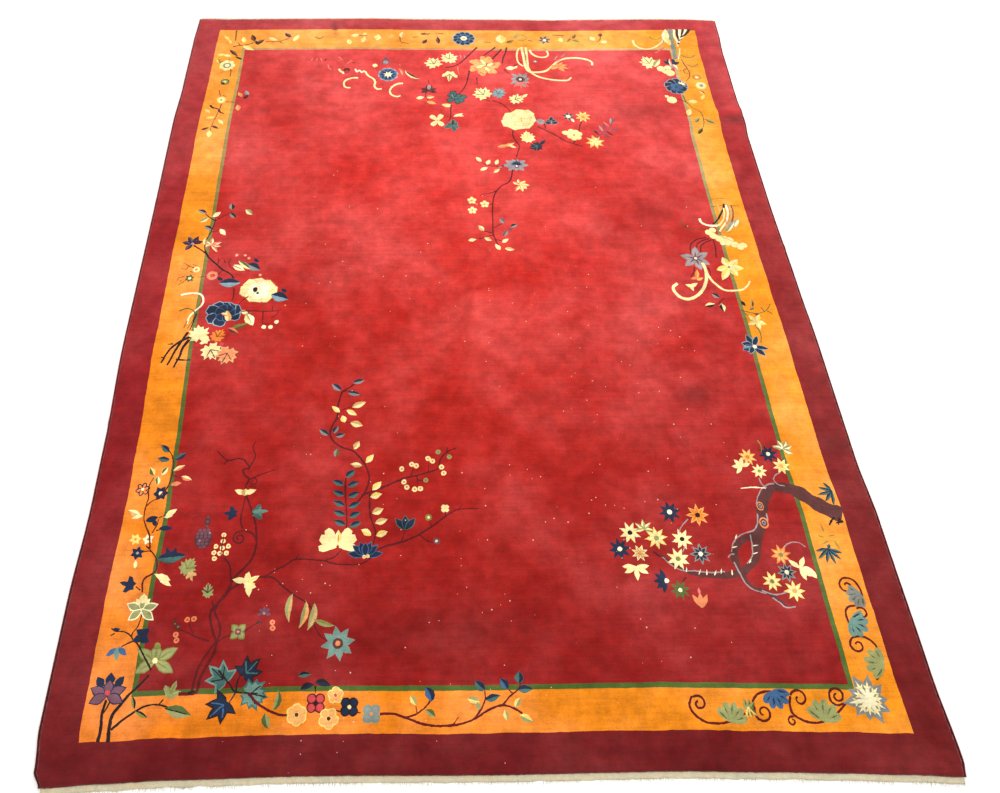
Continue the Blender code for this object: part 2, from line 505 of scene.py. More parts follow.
def spiral(at, radius, turns, start, yarn, width=0.007, hand_way=1, inner=0.22):
    """A tendril's coil, wound in from its outer end; gives back where it starts."""
    total = int(turns * 14)
    points = []
    for i in range(total + 1):
        share = i / total
        r = radius * (1.0 - (1.0 - inner) * share)
        a = math.radians(start) + hand_way * 2 * math.pi * turns * share
        points.append((at[0] + r * math.cos(a), at[1] + r * math.sin(a)))
    line = knots_from(points)
    ribbon(line, np.linspace(width, width * 0.8, len(line)), yarn)
    return points[0]


def beads(at, width, height, rows, yarn, gap, size=0.013):
    """A hanging cluster of berries or grapes, row under row."""
    disc(at, height * 1.06, gap, squash=width / height, turn=90.0)
    for r in range(rows):
        share = r / max(1, rows - 1)
        count = max(1, int(round((1.0 - 0.75 * abs(share - 0.35)) * width / (size * 1.1))))
        y = at[1] + height * (0.44 - 0.88 * share)
        for k in range(count):
            x = at[0] + (k - (count - 1) / 2.0) * size * 1.12
            disc((x, y), size, yarn, sides=8)


def peony(at, size, yarn, rim, eye, turn=90.0, squash=0.85, petals=7, inner=5, rim_width=0.005):
    """A full peony: two rounds of ruffled petals, outlined, and a knot of stamens."""
    for count, reach, offset in ((petals, 1.0, 0.0), (inner, 0.64, 28.0)):
        for k in list(range(0, count, 2)) + list(range(1, count, 2)):
            angle = turn + offset + 360.0 * k / count
            a = math.radians(angle)
            length = size / 2.0 * reach * math.hypot(math.cos(a), squash * math.sin(a))
            bearing = math.degrees(math.atan2(squash * math.sin(a), math.cos(a)))
            width = 2 * math.pi * size / 2.0 * reach * 0.68 / count
            rimmed(at, length, width * 1.25, bearing, yarn, rim, rim_width, NOTCHED)
    disc(at, size * 0.17, rim)
    for k in range(3):
        a = math.radians(turn + 120.0 * k)
        disc((at[0] + math.cos(a) * size * 0.045, at[1] + math.sin(a) * size * 0.045), size * 0.07, eye,
            sides=8)


def dots(places, size, yarn, other=None):
    """Buds and berries, some with a second yarn at the middle."""
    for x, y in places:
        disc((x, y), size, yarn, sides=9)
        if other:
            disc((x, y), size * 0.42, other, sides=7)


# ---- Near left corner and the lower left band: two canes of corner flowers and a climbing vine ----

line_of(((-1.205, -1.678), (-1.203, -1.640), (-1.208, -1.605), (-1.203, -1.560)), "black", 0.011, 0.7)
line_of(((-1.174, -1.678), (-1.178, -1.640), (-1.176, -1.605), (-1.160, -1.580), (-1.135, -1.545),
         (-1.105, -1.515), (-1.085, -1.490)), "black", 0.012, 0.5)
line_of(((-1.172, -1.645), (-1.145, -1.620), (-1.110, -1.595), (-1.075, -1.578), (-1.035, -1.577),
         (-1.000, -1.588)), "black", 0.008)
line_of(((-1.188, -1.560), (-1.200, -1.590), (-1.208, -1.600)), "black", 0.006)
line_of(((-1.040, -1.577), (-1.028, -1.560)), "black", 0.005)
leaves((
    (-1.118, -1.570, 0.042, 0.014, -70, "olive", "black"),
    (-1.088, -1.603, 0.046, 0.014, -25, "olive", "black"),
    (-0.978, -1.597, 0.085, 0.036, -14, "sage", "moss", "black"),
))
lobed_leaf((-1.008, -1.543), 0.062, 70, "sage", None, "olive", THREE_LOBED)
leaves((
    (-1.202, -1.500, 0.040, 0.030, 90, "navy"), (-1.172, -1.508, 0.040, 0.026, 55, "navy"),
    (-1.232, -1.508, 0.040, 0.026, 125, "navy"),
))
for turn, length in ((160, 0.060), (20, 0.060), (205, 0.058), (-25, 0.058), (90, 0.045)):
    rimmed((-1.203, -1.545), length, 0.034, turn, "plum", "navy", 0.004, POINTED)
disc((-1.203, -1.540), 0.016, "rose")

for turn, length in ((150, 0.072), (30, 0.078), (212, 0.070), (-30, 0.074), (90, 0.052)):
    rimmed((-1.073, -1.447), length, 0.036, turn, "sage", "olive", 0.004, POINTED)
    leaf((-1.073, -1.447), length * 0.7, 0.006, turn, "olive")
disc((-1.073, -1.447), 0.018, "cream")
disc((-1.073, -1.403), 0.022, "olive")

line_of(((-1.080, -1.475), (-1.130, -1.405), (-1.160, -1.372), (-1.145, -1.340), (-1.138, -1.300)),
        "black", 0.006)
line_of(((-1.160, -1.372), (-1.185, -1.358), (-1.215, -1.356)), "black", 0.005)
line_of(((-1.215, -1.350), (-1.230, -1.347)), "black", 0.004)
line_of(((-1.215, -1.362), (-1.228, -1.368)), "black", 0.004)
line_of(((-1.150, -1.385), (-1.180, -1.400), (-1.195, -1.412)), "black", 0.005)
leaves((
    (-1.215, -1.420, 0.040, 0.018, -140, "blue"), (-1.197, -1.425, 0.042, 0.018, -85, "sea"),
    (-1.180, -1.418, 0.040, 0.018, -40, "blue"), (-1.215, -1.350, 0.028, 0.012, 180, "navy"),
    (-1.130, -1.362, 0.044, 0.028, 150, "navy"), (-1.120, -1.380, 0.044, 0.028, -30, "navy"),
    (-1.138, -1.380, 0.040, 0.024, 210, "navy"), (-1.120, -1.360, 0.036, 0.024, 40, "navy"),
))
for turn, length in ((160, 0.055), (18, 0.055), (222, 0.052), (-38, 0.056), (90, 0.048)):
    rimmed((-1.143, -1.288), length, 0.030, turn, "sage", "ivory", 0.0045, POINTED)
leaves(((-1.143, -1.252, 0.034, 0.026, 90, "cream"), (-1.158, -1.262, 0.026, 0.014, 130, "cream"),
        (-1.128, -1.262, 0.026, 0.014, 50, "cream")))
line_of(((-1.150, -1.232), (-1.155, -1.205), (-1.150, -1.185), (-1.120, -1.165), (-1.118, -1.135),
         (-1.130, -1.110), (-1.150, -1.088), (-1.165, -1.075)), "wine", 0.007)
line_of(((-1.158, -1.225), (-1.175, -1.213)), "wine", 0.005)
lobed_leaf((-1.195, -1.208), 0.062, 165, "navy", None, None, THREE_LOBED)
leaves((
    (-1.093, -1.183, 0.060, 0.022, 160, "cream"), (-1.082, -1.198, 0.056, 0.018, -32, "cream"),
    (-1.072, -1.115, 0.098, 0.040, 6, "navy", "teal", None, LEAF, 0.0, -1),
    (-1.088, -1.098, 0.040, 0.016, 110, "navy"), (-1.065, -1.098, 0.034, 0.014, 80, "navy"),
    (-1.190, -1.138, 0.030, 0.012, 92, "cream"),
))
lobed_leaf((-1.016, -1.155), 0.070, 60, "sage", None, "olive", RAGGED_LEAF)
lobed_leaf((-1.000, -1.175), 0.040, -70, "tan", None, None, THREE_LOBED)
flower((-1.190, -1.100), 0.050, 6, "navy", None, "dove", 20, STAR)
line_of(((-1.170, -1.096), (-1.148, -1.094), (-1.135, -1.105)), "black", 0.004)
flower((-1.205, -1.052), 0.042, 6, "straw", None, "orange", 10, STAR)
flower((-1.162, -1.052), 0.040, 5, "ivory", None, "orange", 30, STAR)
line_of(((-1.150, -1.085), (-1.160, -1.040), (-1.178, -1.005), (-1.190, -0.975), (-1.190, -0.935),
         (-1.186, -0.905)), "wine", 0.006)
line_of(((-1.152, -1.030), (-1.140, -1.000), (-1.138, -0.980)), "black", 0.005)
line_of(((-1.140, -1.022), (-1.125, -1.018)), "black", 0.004)
line_of(((-1.138, -0.975), (-1.120, -0.968), (-1.108, -0.965)), "wine", 0.004)
leaves((
    (-1.225, -0.957, 0.052, 0.020, 155, "cream", "tan"), (-1.214, -0.972, 0.040, 0.014, 195, "cream"),
    (-1.160, -0.980, 0.044, 0.024, 20, "navy"), (-1.150, -0.995, 0.026, 0.016, -70, "navy"),
    (-1.098, -0.958, 0.046, 0.020, 35, "cream"), (-1.106, -0.972, 0.030, 0.012, 12, "cream"),
    (-1.108, -1.014, 0.050, 0.018, 0, "navy"),
))
line_of(((-1.190, -0.935), (-1.175, -0.918), (-1.150, -0.900)), "wine", 0.005)

# Higher up the left band.
flower((-1.212, -0.870), 0.052, 6, "orange", "navy", "cream", 15, ROUND, rim_width=0.004)
flower((-1.146, -0.886), 0.056, 6, "navy", None, "ivory", 5, STAR, fat=1.2, eye_size=0.3)
line_of(((-1.186, -0.905), (-1.192, -0.860), (-1.180, -0.825)), "wine", 0.005)
line_of(((-1.150, -0.900), (-1.125, -0.860), (-1.118, -0.820), (-1.118, -0.775), (-1.130, -0.740),
         (-1.148, -0.715)), "wine", 0.006)
leaves((
    (-1.190, -0.802, 0.038, 0.020, 120, "straw", "moss"),
    (-1.145, -0.800, 0.036, 0.018, 60, "cream", "moss"),
    (-1.165, -0.836, 0.034, 0.018, 100, "cream", "moss"),
    (-1.158, -0.712, 0.044, 0.022, 140, "navy", "teal"),
    (-1.158, -0.754, 0.046, 0.022, 170, "navy", "teal"),
    (-1.096, -0.744, 0.050, 0.022, 35, "navy", "teal"),
    (-1.096, -0.790, 0.046, 0.018, 30, "salmon", "cream"),
    (-1.064, -0.830, 0.042, 0.018, -20, "salmon", "cream"),
    (-1.098, -0.850, 0.040, 0.016, 10, "salmon"),
))
line_of(((-1.120, -0.815), (-1.095, -0.825), (-1.080, -0.828)), "wine", 0.004)


# ---- Lower left of the field: a twisting plant with grapes, coils and long side branches ----

line_of(((-0.985, -1.546), (-0.955, -1.546), (-0.930, -1.540), (-0.925, -1.505), (-0.912, -1.470),
         (-0.892, -1.430), (-0.888, -1.395), (-0.905, -1.355), (-0.918, -1.310), (-0.908, -1.280),
         (-0.880, -1.252), (-0.862, -1.215), (-0.868, -1.175), (-0.872, -1.150), (-0.895, -1.118)),
        "wine", 0.010, 0.6)
line_of(((-0.945, -1.545), (-0.940, -1.500), (-0.930, -1.460), (-0.905, -1.415), (-0.880, -1.375),
         (-0.885, -1.335), (-0.905, -1.300), (-0.918, -1.262)), "wine", 0.008, 0.7)
line_of(((-0.905, -1.300), (-0.895, -1.265), (-0.872, -1.235), (-0.855, -1.190), (-0.820, -1.150),
         (-0.798, -1.115), (-0.792, -1.070), (-0.800, -1.010), (-0.815, -0.965), (-0.830, -0.930),
         (-0.845, -0.895), (-0.850, -0.865)), "wine", 0.009, 0.7)
line_of(((-0.792, -1.055), (-0.812, -1.035), (-0.838, -1.025), (-0.862, -1.033)), "wine", 0.006)
spiral((-0.852, -1.052), 0.024, 1.4, 100, "wine", 0.006, 1, 0.25)
line_of(((-0.845, -1.020), (-0.855, -0.985), (-0.850, -0.930), (-0.848, -0.895)), "wine", 0.006)
line_of(((-0.862, -1.225), (-0.830, -1.205), (-0.800, -1.190), (-0.760, -1.186), (-0.725, -1.190),
         (-0.690, -1.218), (-0.650, -1.248), (-0.605, -1.275), (-0.582, -1.310), (-0.578, -1.345),
         (-0.555, -1.380), (-0.530, -1.395)), "wine", 0.008, 0.6)
line_of(((-0.755, -1.186), (-0.715, -1.162), (-0.680, -1.143), (-0.655, -1.128), (-0.600, -1.130),
         (-0.555, -1.132), (-0.520, -1.118), (-0.500, -1.095)), "wine", 0.007, 0.6)
line_of(((-0.655, -1.128), (-0.645, -1.112)), "wine", 0.005)
line_of(((-0.560, -1.132), (-0.520, -1.145), (-0.470, -1.148), (-0.430, -1.145), (-0.400, -1.125)),
        "wine", 0.006, 0.7)
line_of(((-0.910, -1.390), (-0.950, -1.378), (-0.985, -1.362), (-1.020, -1.350)), "wine", 0.006)
line_of(((-0.960, -1.375), (-0.978, -1.345), (-0.984, -1.330)), "wine", 0.005)
line_of(((-0.888, -1.395), (-0.865, -1.380), (-0.838, -1.368)), "wine", 0.005)
line_of(((-0.800, -1.360), (-0.780, -1.345), (-0.760, -1.335)), "wine", 0.005)
line_of(((-0.955, -1.545), (-0.935, -1.538)), "black", 0.010)

# Grapes and bead clusters, the coils above, and the leaves.
beads((-0.975, -1.052), 0.056, 0.066, 6, "plum", "bark", 0.012)
beads((-0.968, -0.992), 0.018, 0.036, 3, "plum", "bark", 0.010)
dots(((-0.955, -1.032), (-0.985, -1.060)), 0.007, "dove")
dots(((-0.906, -1.040), (-0.906, -1.062), (-0.928, -1.080), (-0.906, -1.086), (-0.886, -1.080),
      (-0.932, -1.102), (-0.912, -1.104), (-0.890, -1.104), (-0.928, -1.122)), 0.017, "cream", "salmon")
line_of(((-0.906, -1.045), (-0.907, -1.110), (-0.890, -1.125)), "wine", 0.004)
leaf((-0.850, -0.890), 0.040, 0.020, 160, "cream")
leaf((-0.850, -0.890), 0.040, 0.020, 20, "cream")
leaf((-0.850, -0.898), 0.026, 0.030, 90, "cream", "tan")
lobed_leaf((-0.885, -0.963), 0.056, 176, "navy", None, None, THREE_LOBED)
lobed_leaf((-0.800, -0.960), 0.062, 10, "teal", None, "sea", THREE_LOBED)
leaf((-0.820, -0.958), 0.058, 0.016, 2, "sea")
lobed_leaf((-0.935, -1.236), 0.056, 95, "sage", None, "bark", RAGGED_LEAF, squash=0.8)
lobed_leaf((-0.806, -1.202), 0.066, 30, "cream", None, "straw", THREE_LOBED)
leaf((-0.806, -1.205), 0.048, 0.022, -80, "cream")
leaf((-0.812, -1.200), 0.048, 0.022, 172, "cream")
line_of(((-0.851, -0.862), (-0.842, -0.835), (-0.860, -0.820), (-0.866, -0.800), (-0.846, -0.790),
         (-0.858, -0.772), (-0.868, -0.758)), "wine", 0.007, 0.8, 0.005)
line_of(((-0.850, -0.800), (-0.835, -0.770), (-0.828, -0.742), (-0.840, -0.715), (-0.836, -0.690)),
        "wine", 0.006)
line_of(((-0.862, -0.762), (-0.890, -0.755), (-0.925, -0.762), (-0.948, -0.745), (-0.970, -0.722)),
        "wine", 0.006)
line_of(((-0.925, -0.762), (-0.938, -0.778)), "wine", 0.005)
spiral((-0.826, -0.846), 0.017, 1.2, 150, "wine", 0.005, -1, 0.3)
line_of(((-0.842, -0.838), (-0.815, -0.824), (-0.785, -0.812), (-0.755, -0.800)), "wine", 0.006)
line_of(((-0.838, -0.862), (-0.815, -0.866)), "wine", 0.005)

dots(((-0.990, -1.322), (-0.969, -1.320), (-1.020, -1.368), (-1.015, -1.386)), 0.019, "salmon", "rose")
dots(((-1.028, -1.334), (-1.016, -1.344)), 0.016, "bark", "olive")
dots(((-0.714, -1.334), (-0.712, -1.352)), 0.018, "salmon", "rose")
flower((-0.822, -1.362), 0.064, 4, "sage", "olive", "peach", 45, POINTED, fat=0.8, eye_size=0.14)
disc((-0.822, -1.362), 0.026, "plum", sides=4, turn=45)
disc((-0.822, -1.362), 0.010, "salmon")
flower((-0.744, -1.305), 0.044, 5, "plum", None, "dove", 0, ROUND, sweep=200, start=-10)
line_of(((-0.765, -1.330), (-0.745, -1.336)), "bark", 0.009)
leaves((
    (-0.660, -1.290, 0.095, 0.022, -95, "sage", "tan", None, LEAF, 40),
    (-0.618, -1.312, 0.090, 0.022, -100, "sage", "peach", None, LEAF, -40),
    (-0.590, -1.318, 0.090, 0.024, -100, "sage", "tan", None, LEAF, -36),
    (-0.545, -1.338, 0.072, 0.018, -18, "sage", "olive", None, LEAF, 24),
))
flower((-0.500, -1.402), 0.112, 8, "sea", "grey", "bark", 10, STAR, fat=1.05, eye_size=0.30,
    rim_width=0.003)
disc((-0.500, -1.402), 0.018, "salmon")


# ---- Mid left of the field: a slender shrub of two-tone leaves, a fern column and berry boughs ----

line_of(((-0.482, -0.447), (-0.500, -0.465), (-0.525, -0.482), (-0.533, -0.510), (-0.540, -0.548),
         (-0.540, -0.590), (-0.558, -0.630), (-0.563, -0.660), (-0.548, -0.690), (-0.520, -0.712),
         (-0.478, -0.728), (-0.450, -0.755), (-0.428, -0.790), (-0.415, -0.830), (-0.420, -0.870),
         (-0.435, -0.900), (-0.455, -0.930)), "wine", 0.007, 0.9)
line_of(((-0.525, -0.482), (-0.510, -0.478), (-0.495, -0.480)), "wine", 0.005)
line_of(((-0.540, -0.585), (-0.520, -0.560), (-0.480, -0.545)), "wine", 0.004)
line_of(((-0.540, -0.595), (-0.510, -0.610), (-0.480, -0.615)), "wine", 0.004)
line_of(((-0.410, -0.895), (-0.410, -0.940), (-0.405, -0.985), (-0.388, -1.035), (-0.395, -1.080)),
        "wine", 0.007)
line_of(((-0.498, -0.835), (-0.497, -0.900), (-0.490, -0.960), (-0.486, -1.040)), "wine", 0.007)
line_of(((-0.440, -0.900), (-0.385, -0.880), (-0.335, -0.858), (-0.290, -0.838), (-0.245, -0.828),
         (-0.200, -0.815), (-0.168, -0.800), (-0.158, -0.765), (-0.135, -0.738), (-0.100, -0.722)),
        "wine", 0.008, 0.6)
for points in (((-0.265, -0.830), (-0.256, -0.800)), ((-0.243, -0.830), (-0.242, -0.862)),
               ((-0.203, -0.815), (-0.202, -0.785)), ((-0.135, -0.738), (-0.132, -0.718)),
               ((-0.310, -0.845), (-0.290, -0.855)), ((-0.243, -0.845), (-0.222, -0.848))):
    line_of(points, "wine", 0.005)
leaves((
    (-0.548, -0.462, 0.050, 0.024, 140, "grey", "navy", None, LEAF, 0, -1),
    (-0.464, -0.437, 0.046, 0.022, 15, "grey", "navy", None, LEAF, 0, 1),
    (-0.480, -0.490, 0.050, 0.022, -12, "grey", "navy", None, LEAF, 0, 1),
    (-0.586, -0.653, 0.044, 0.022, 145, "grey", "navy", None, LEAF, 0, -1),
    (-0.543, -0.642, 0.034, 0.020, 60, "grey", "navy", None, LEAF, 0, 1),
    (-0.524, -0.665, 0.036, 0.020, 15, "grey", "navy", None, LEAF, 0, 1),
    (-0.536, -0.734, 0.034, 0.020, 80, "grey", "moss", None, LEAF, 0, -1),
    (-0.546, -0.557, 0.040, 0.018, 140, "cream", "straw"),
    (-0.486, -0.572, 0.046, 0.020, -30, "cream", "straw"),
    (-0.460, -0.538, 0.056, 0.024, 22, "cream", "tan"),
    (-0.516, -0.598, 0.030, 0.024, 110, "cream", "straw"),
    (-0.466, -0.620, 0.050, 0.026, -15, "cream", "tan"),
    (-0.463, -0.706, 0.038, 0.022, 60, "cream", "tan"),
    (-0.462, -0.784, 0.042, 0.020, 170, "cream", "tan"),
    (-0.414, -0.760, 0.042, 0.022, 50, "cream", "straw"),
    (-0.386, -0.866, 0.046, 0.024, 45, "cream", "straw"),
    (-0.388, -0.902, 0.042, 0.024, 15, "cream", "straw"),
    (-0.381, -0.960, 0.044, 0.026, 25, "cream", "tan"),
    (-0.368, -0.997, 0.046, 0.024, 18, "cream", "tan"),
    (-0.419, -1.036, 0.040, 0.024, 150, "cream", "straw"),
    (-0.366, -1.042, 0.042, 0.024, 20, "cream", "straw"),
))
leaves(((-0.482, -0.818, 0.044, 0.026, 40, "teal", "navy", None, LEAF, 0, 1),))
for row, y in enumerate((-0.856, -0.896, -0.934, -0.970, -1.005)):
    leaves((
        (-0.524 + 0.003 * row, y + 0.004, 0.046, 0.022, 158, "teal", "navy", None, LEAF, 0, -1),
        (-0.470 + 0.003 * row, y - 0.002, 0.044, 0.022, 24, "teal", "navy", None, LEAF, 0, 1),
    ))
dots(((-0.298, -0.802), (-0.262, -0.784), (-0.246, -0.790), (-0.203, -0.762), (-0.187, -0.772),
      (-0.155, -0.796), (-0.148, -0.820), (-0.290, -0.852), (-0.280, -0.872), (-0.252, -0.880),
      (-0.232, -0.878)), 0.020, "cream", "salmon")
dots(((-0.166, -0.736), (-0.126, -0.756), (-0.212, -0.846)), 0.019, "sage", "olive")

# The butterfly-shaped flower, the lotus and the tulip on the lower branch.
line_of(((-0.395, -1.105), (-0.350, -1.086), (-0.300, -1.073), (-0.255, -1.055), (-0.210, -1.030),
         (-0.175, -1.005), (-0.135, -0.975), (-0.100, -0.957), (-0.060, -0.955), (-0.030, -0.955)),
        "wine", 0.008, 0.6)
line_of(((-0.300, -1.073), (-0.285, -1.030)), "wine", 0.005)
line_of(((-0.240, -1.045), (-0.205, -1.072), (-0.185, -1.072)), "wine", 0.005)
line_of(((-0.195, -1.020), (-0.200, -0.998)), "wine", 0.005)
line_of(((-0.145, -0.985), (-0.145, -0.965)), "wine", 0.005)
line_of(((-0.100, -0.957), (-0.085, -0.940)), "wine", 0.004)
for x, y, length, width, turn in ((-0.515, -1.078, 0.068, 0.034, 158), (-0.515, -1.078, 0.068, 0.034, 22),
                                  (-0.520, -1.070, 0.060, 0.030, 128), (-0.510, -1.070, 0.060, 0.030, 52),
                                  (-0.520, -1.085, 0.062, 0.026, 186), (-0.510, -1.085, 0.062, 0.026, -6)):
    leaf((x, y), length, width, turn, "cream", shape=NOTCHED)
leaf((-0.515, -1.075), 0.048, 0.024, 90, "straw", "cream")
line_of(((-0.515, -1.045), (-0.515, -1.068)), "rose", 0.004)
for turn, length in ((172, 0.062), (8, 0.062), (140, 0.058), (40, 0.058), (112, 0.052), (68, 0.052),
    (90, 0.046)):
    rimmed((-0.421, -1.118), length, 0.026, turn, "navy", "blue", 0.003, POINTED)
dots(((-0.424, -1.122), (-0.412, -1.120)), 0.013, "cream", "salmon")
for turn in (130, 90, 50):
    rimmed((-0.285, -1.028), 0.054, 0.026, turn, "navy", "teal", 0.003, POINTED)
dots(((-0.204, -0.985),), 0.024, "olive", "cream")
dots(((-0.178, -1.070),), 0.024, "plum", "cream")
flower((-0.146, -0.953), 0.032, 4, "cream", None, "straw", 45, ROUND)


# ---- Near band: ivy leaves, a garland of plum blossom and a long low vine ----

lobed_leaf((-0.852, -1.505), 0.105, 140, "teal", "sea", "black", IVY_LEAF)
lobed_leaf((-0.782, -1.488), 0.098, 48, "navy", "black", "teal", IVY_LEAF)
lobed_leaf((-0.842, -1.578), 0.104, 222, "navy", "black", "blue", IVY_LEAF)
lobed_leaf((-0.762, -1.548), 0.100, -12, "sea", "teal", "black", VINE_LEAF)
line_of(((-0.870, -1.478), (-0.830, -1.520), (-0.808, -1.542), (-0.740, -1.548)), "black", 0.006)
line_of(((-0.808, -1.542), (-0.806, -1.510), (-0.790, -1.480)), "black", 0.006)
line_of(((-0.808, -1.542), (-0.830, -1.580), (-0.850, -1.590)), "navy", 0.005)
line_of(((-0.768, -1.548), (-0.740, -1.575), (-0.705, -1.596), (-0.665, -1.610), (-0.640, -1.610)),
        "wine", 0.009, 0.7)
leaves((
    (-0.682, -1.567, 0.062, 0.022, 75, "sage", "moss", None, LEAF, 60, -1),
    (-0.706, -1.627, 0.046, 0.026, -75, "sage", "moss", None, LEAF, 30, -1),
    (-0.600, -1.495, 0.044, 0.018, 8, "teal", "black", None, LEAF, -20),
    (-0.588, -1.530, 0.046, 0.020, 25, "navy", "black", None, LEAF, -50),
    (-0.540, -1.522, 0.050, 0.022, -8, "navy", "black", None, LEAF, -50),
))
line_of(((-0.565, -1.528), (-0.562, -1.548)), "black", 0.005)
line_of(((-0.500, -1.600), (-0.460, -1.605), (-0.420, -1.608)), "wine", 0.006)
scallop((-0.616, -1.610), 0.062, 6, "peach", "bark", "straw", 90)
scallop((-0.560, -1.578), 0.064, 4, "rose", "black", "wine", 45)
scallop((-0.500, -1.556), 0.050, 5, "peach", "rose", "straw", 90)
scallop((-0.518, -1.622), 0.062, 5, "peach", "wine", "straw", 60)
scallop((-0.456, -1.590), 0.062, 4, "navy", "cream", "black", 45)
scallop((-0.388, -1.611), 0.060, 4, "grey", "salmon", "sea", 45)
line_of(((-0.362, -1.612), (-0.320, -1.612), (-0.275, -1.626), (-0.225, -1.643), (-0.170, -1.648),
         (-0.115, -1.643), (-0.070, -1.628), (-0.025, -1.603), (0.015, -1.592), (0.050, -1.602),
         (0.075, -1.616)), "wine", 0.008, 0.7)
line_of(((-0.285, -1.624), (-0.248, -1.612), (-0.218, -1.590), (-0.205, -1.570)), "wine", 0.007)
line_of(((-0.248, -1.612), (-0.252, -1.590)), "wine", 0.004)
line_of(((-0.140, -1.646), (-0.122, -1.624)), "wine", 0.005)
line_of(((-0.075, -1.630), (-0.052, -1.603), (-0.038, -1.575), (-0.038, -1.550)), "wine", 0.006)
line_of(((-0.038, -1.572), (-0.020, -1.565)), "wine", 0.005)
line_of(((0.015, -1.592), (0.038, -1.568), (0.068, -1.545), (0.075, -1.525)), "wine", 0.006)
line_of(((0.048, -1.558), (0.035, -1.545)), "wine", 0.005)
leaves((
    (-0.212, -1.556, 0.048, 0.030, 110, "blue", "navy", None, LEAF, 50, -1),
    (-0.052, -1.534, 0.044, 0.026, 140, "teal", "navy", None, LEAF, -30, -1),
    (-0.014, -1.570, 0.050, 0.022, 15, "teal", "navy", None, LEAF, 0, 1),
    (0.022, -1.530, 0.040, 0.026, 120, "blue", "navy", None, LEAF, 30, -1),
    (0.072, -1.512, 0.036, 0.028, 85, "teal", "navy", None, LEAF, 0, -1),
    (0.088, -1.548, 0.050, 0.024, 5, "teal", "navy", None, LEAF, -30, 1),
    (-0.260, -1.574, 0.032, 0.020, 120, "sage", "straw"),
    (-0.206, -1.612, 0.036, 0.020, -35, "sage", "moss"),
    (-0.074, -1.576, 0.038, 0.022, 165, "sage", "straw"),
    (-0.060, -1.592, 0.026, 0.014, 110, "sage"),
    (0.062, -1.584, 0.032, 0.020, 60, "sage", "straw"),
    (0.086, -1.630, 0.044, 0.022, -25, "sage", "straw"),
    (0.024, -1.620, 0.032, 0.018, 100, "sage", "straw"),
))


# ---- Near right corner: a scrolling tendril with striped fan leaves and a ragged corner leaf ----

def scroll(points, width=0.0075):
    line_of(points, "wine", width, 0.9, 0.006)


spiral((0.622, -1.595), 0.024, 1.1, 130, "wine", 0.0075, -1, 0.25)
scroll(((0.604, -1.574), (0.592, -1.600), (0.605, -1.628), (0.635, -1.648), (0.680, -1.652),
        (0.725, -1.642), (0.760, -1.625)))
scroll(((0.790, -1.612), (0.792, -1.590), (0.810, -1.572), (0.838, -1.564), (0.868, -1.568),
        (0.895, -1.585), (0.905, -1.600)))
scroll(((0.792, -1.606), (0.790, -1.630), (0.798, -1.645)))
spiral((0.817, -1.624), 0.027, 1.15, 200, "wine", 0.0075, 1, 0.25)
spiral((0.938, -1.586), 0.028, 1.1, 160, "wine", 0.0075, -1, 0.25)
scroll(((0.911, -1.578), (0.904, -1.605), (0.908, -1.630), (0.935, -1.648), (0.965, -1.655),
        (1.000, -1.650), (1.045, -1.628), (1.080, -1.600)))
spiral((0.900, -1.650), 0.015, 1.1, 60, "wine", 0.0065, 1, 0.3)
scroll(((0.918, -1.636), (0.908, -1.634)))
spiral((1.058, -1.580), 0.025, 1.15, 150, "wine", 0.0075, -1, 0.25)
scroll(((1.036, -1.568), (1.034, -1.592), (1.050, -1.606), (1.080, -1.600)))
spiral((1.168, -1.430), 0.027, 1.15, 100, "wine", 0.0075, 1, 0.25)
scroll(((1.163, -1.404), (1.195, -1.404), (1.222, -1.425), (1.232, -1.460), (1.230, -1.495),
        (1.212, -1.520), (1.195, -1.535)))
scroll(((1.190, -1.402), (1.172, -1.385), (1.160, -1.355), (1.160, -1.325), (1.175, -1.308),
        (1.200, -1.305)))
spiral((1.212, -1.330), 0.020, 1.1, 130, "wine", 0.007, -1, 0.3)
scroll(((1.212, -1.305), (1.228, -1.280), (1.230, -1.250), (1.215, -1.220), (1.190, -1.212)))
spiral((1.188, -1.240), 0.028, 1.2, 80, "wine", 0.0075, 1, 0.22)


def fan_leaf(at, size, turn, yarn, stripe, blades=5):
    """A half-round leaf of a few overlapping blades with striped edges."""
    for k in range(blades):
        angle = turn - 62.0 + 124.0 * k / (blades - 1)
        a = math.radians(angle)
        reach = size * (0.80 + 0.20 * math.cos(math.radians(angle - turn)))
        leaf(at, reach, size * 0.42, angle, yarn, shape=ROUND)
        edge = (at[0] + math.cos(a + 0.22) * reach * 0.28, at[1] + math.sin(a + 0.22) * reach * 0.28)
        leaf(edge, reach * 0.55, 0.0055, angle, stripe, shape=STAR)


fan_leaf((0.712, -1.648), 0.060, 70, "sage", "moss")
fan_leaf((0.862, -1.562), 0.056, -75, "blue", "navy")
fan_leaf((0.998, -1.650), 0.066, 75, "sage", "moss")
fan_leaf((1.232, -1.492), 0.062, 160, "sage", "moss")
fan_leaf((1.168, -1.352), 0.060, -35, "sea", "navy")
fan_leaf((1.226, -1.268), 0.050, 205, "grey", "moss")
for turn in (100, 75, 50):
    leaf((0.770, -1.622), 0.040, 0.014, turn, "moss", "sage")
for turn in (-110, -85, -55):
    leaf((0.775, -1.605), 0.034, 0.012, turn, "straw", "moss")
for turn, length in ((0, 0.062), (38, 0.070), (75, 0.074), (112, 0.078), (150, 0.062), (186, 0.082),
                     (222, 0.068), (258, 0.062), (292, 0.074), (328, 0.070)):
    leaf((1.152, -1.592), length, 0.040, turn, "grey", shape=STAR)
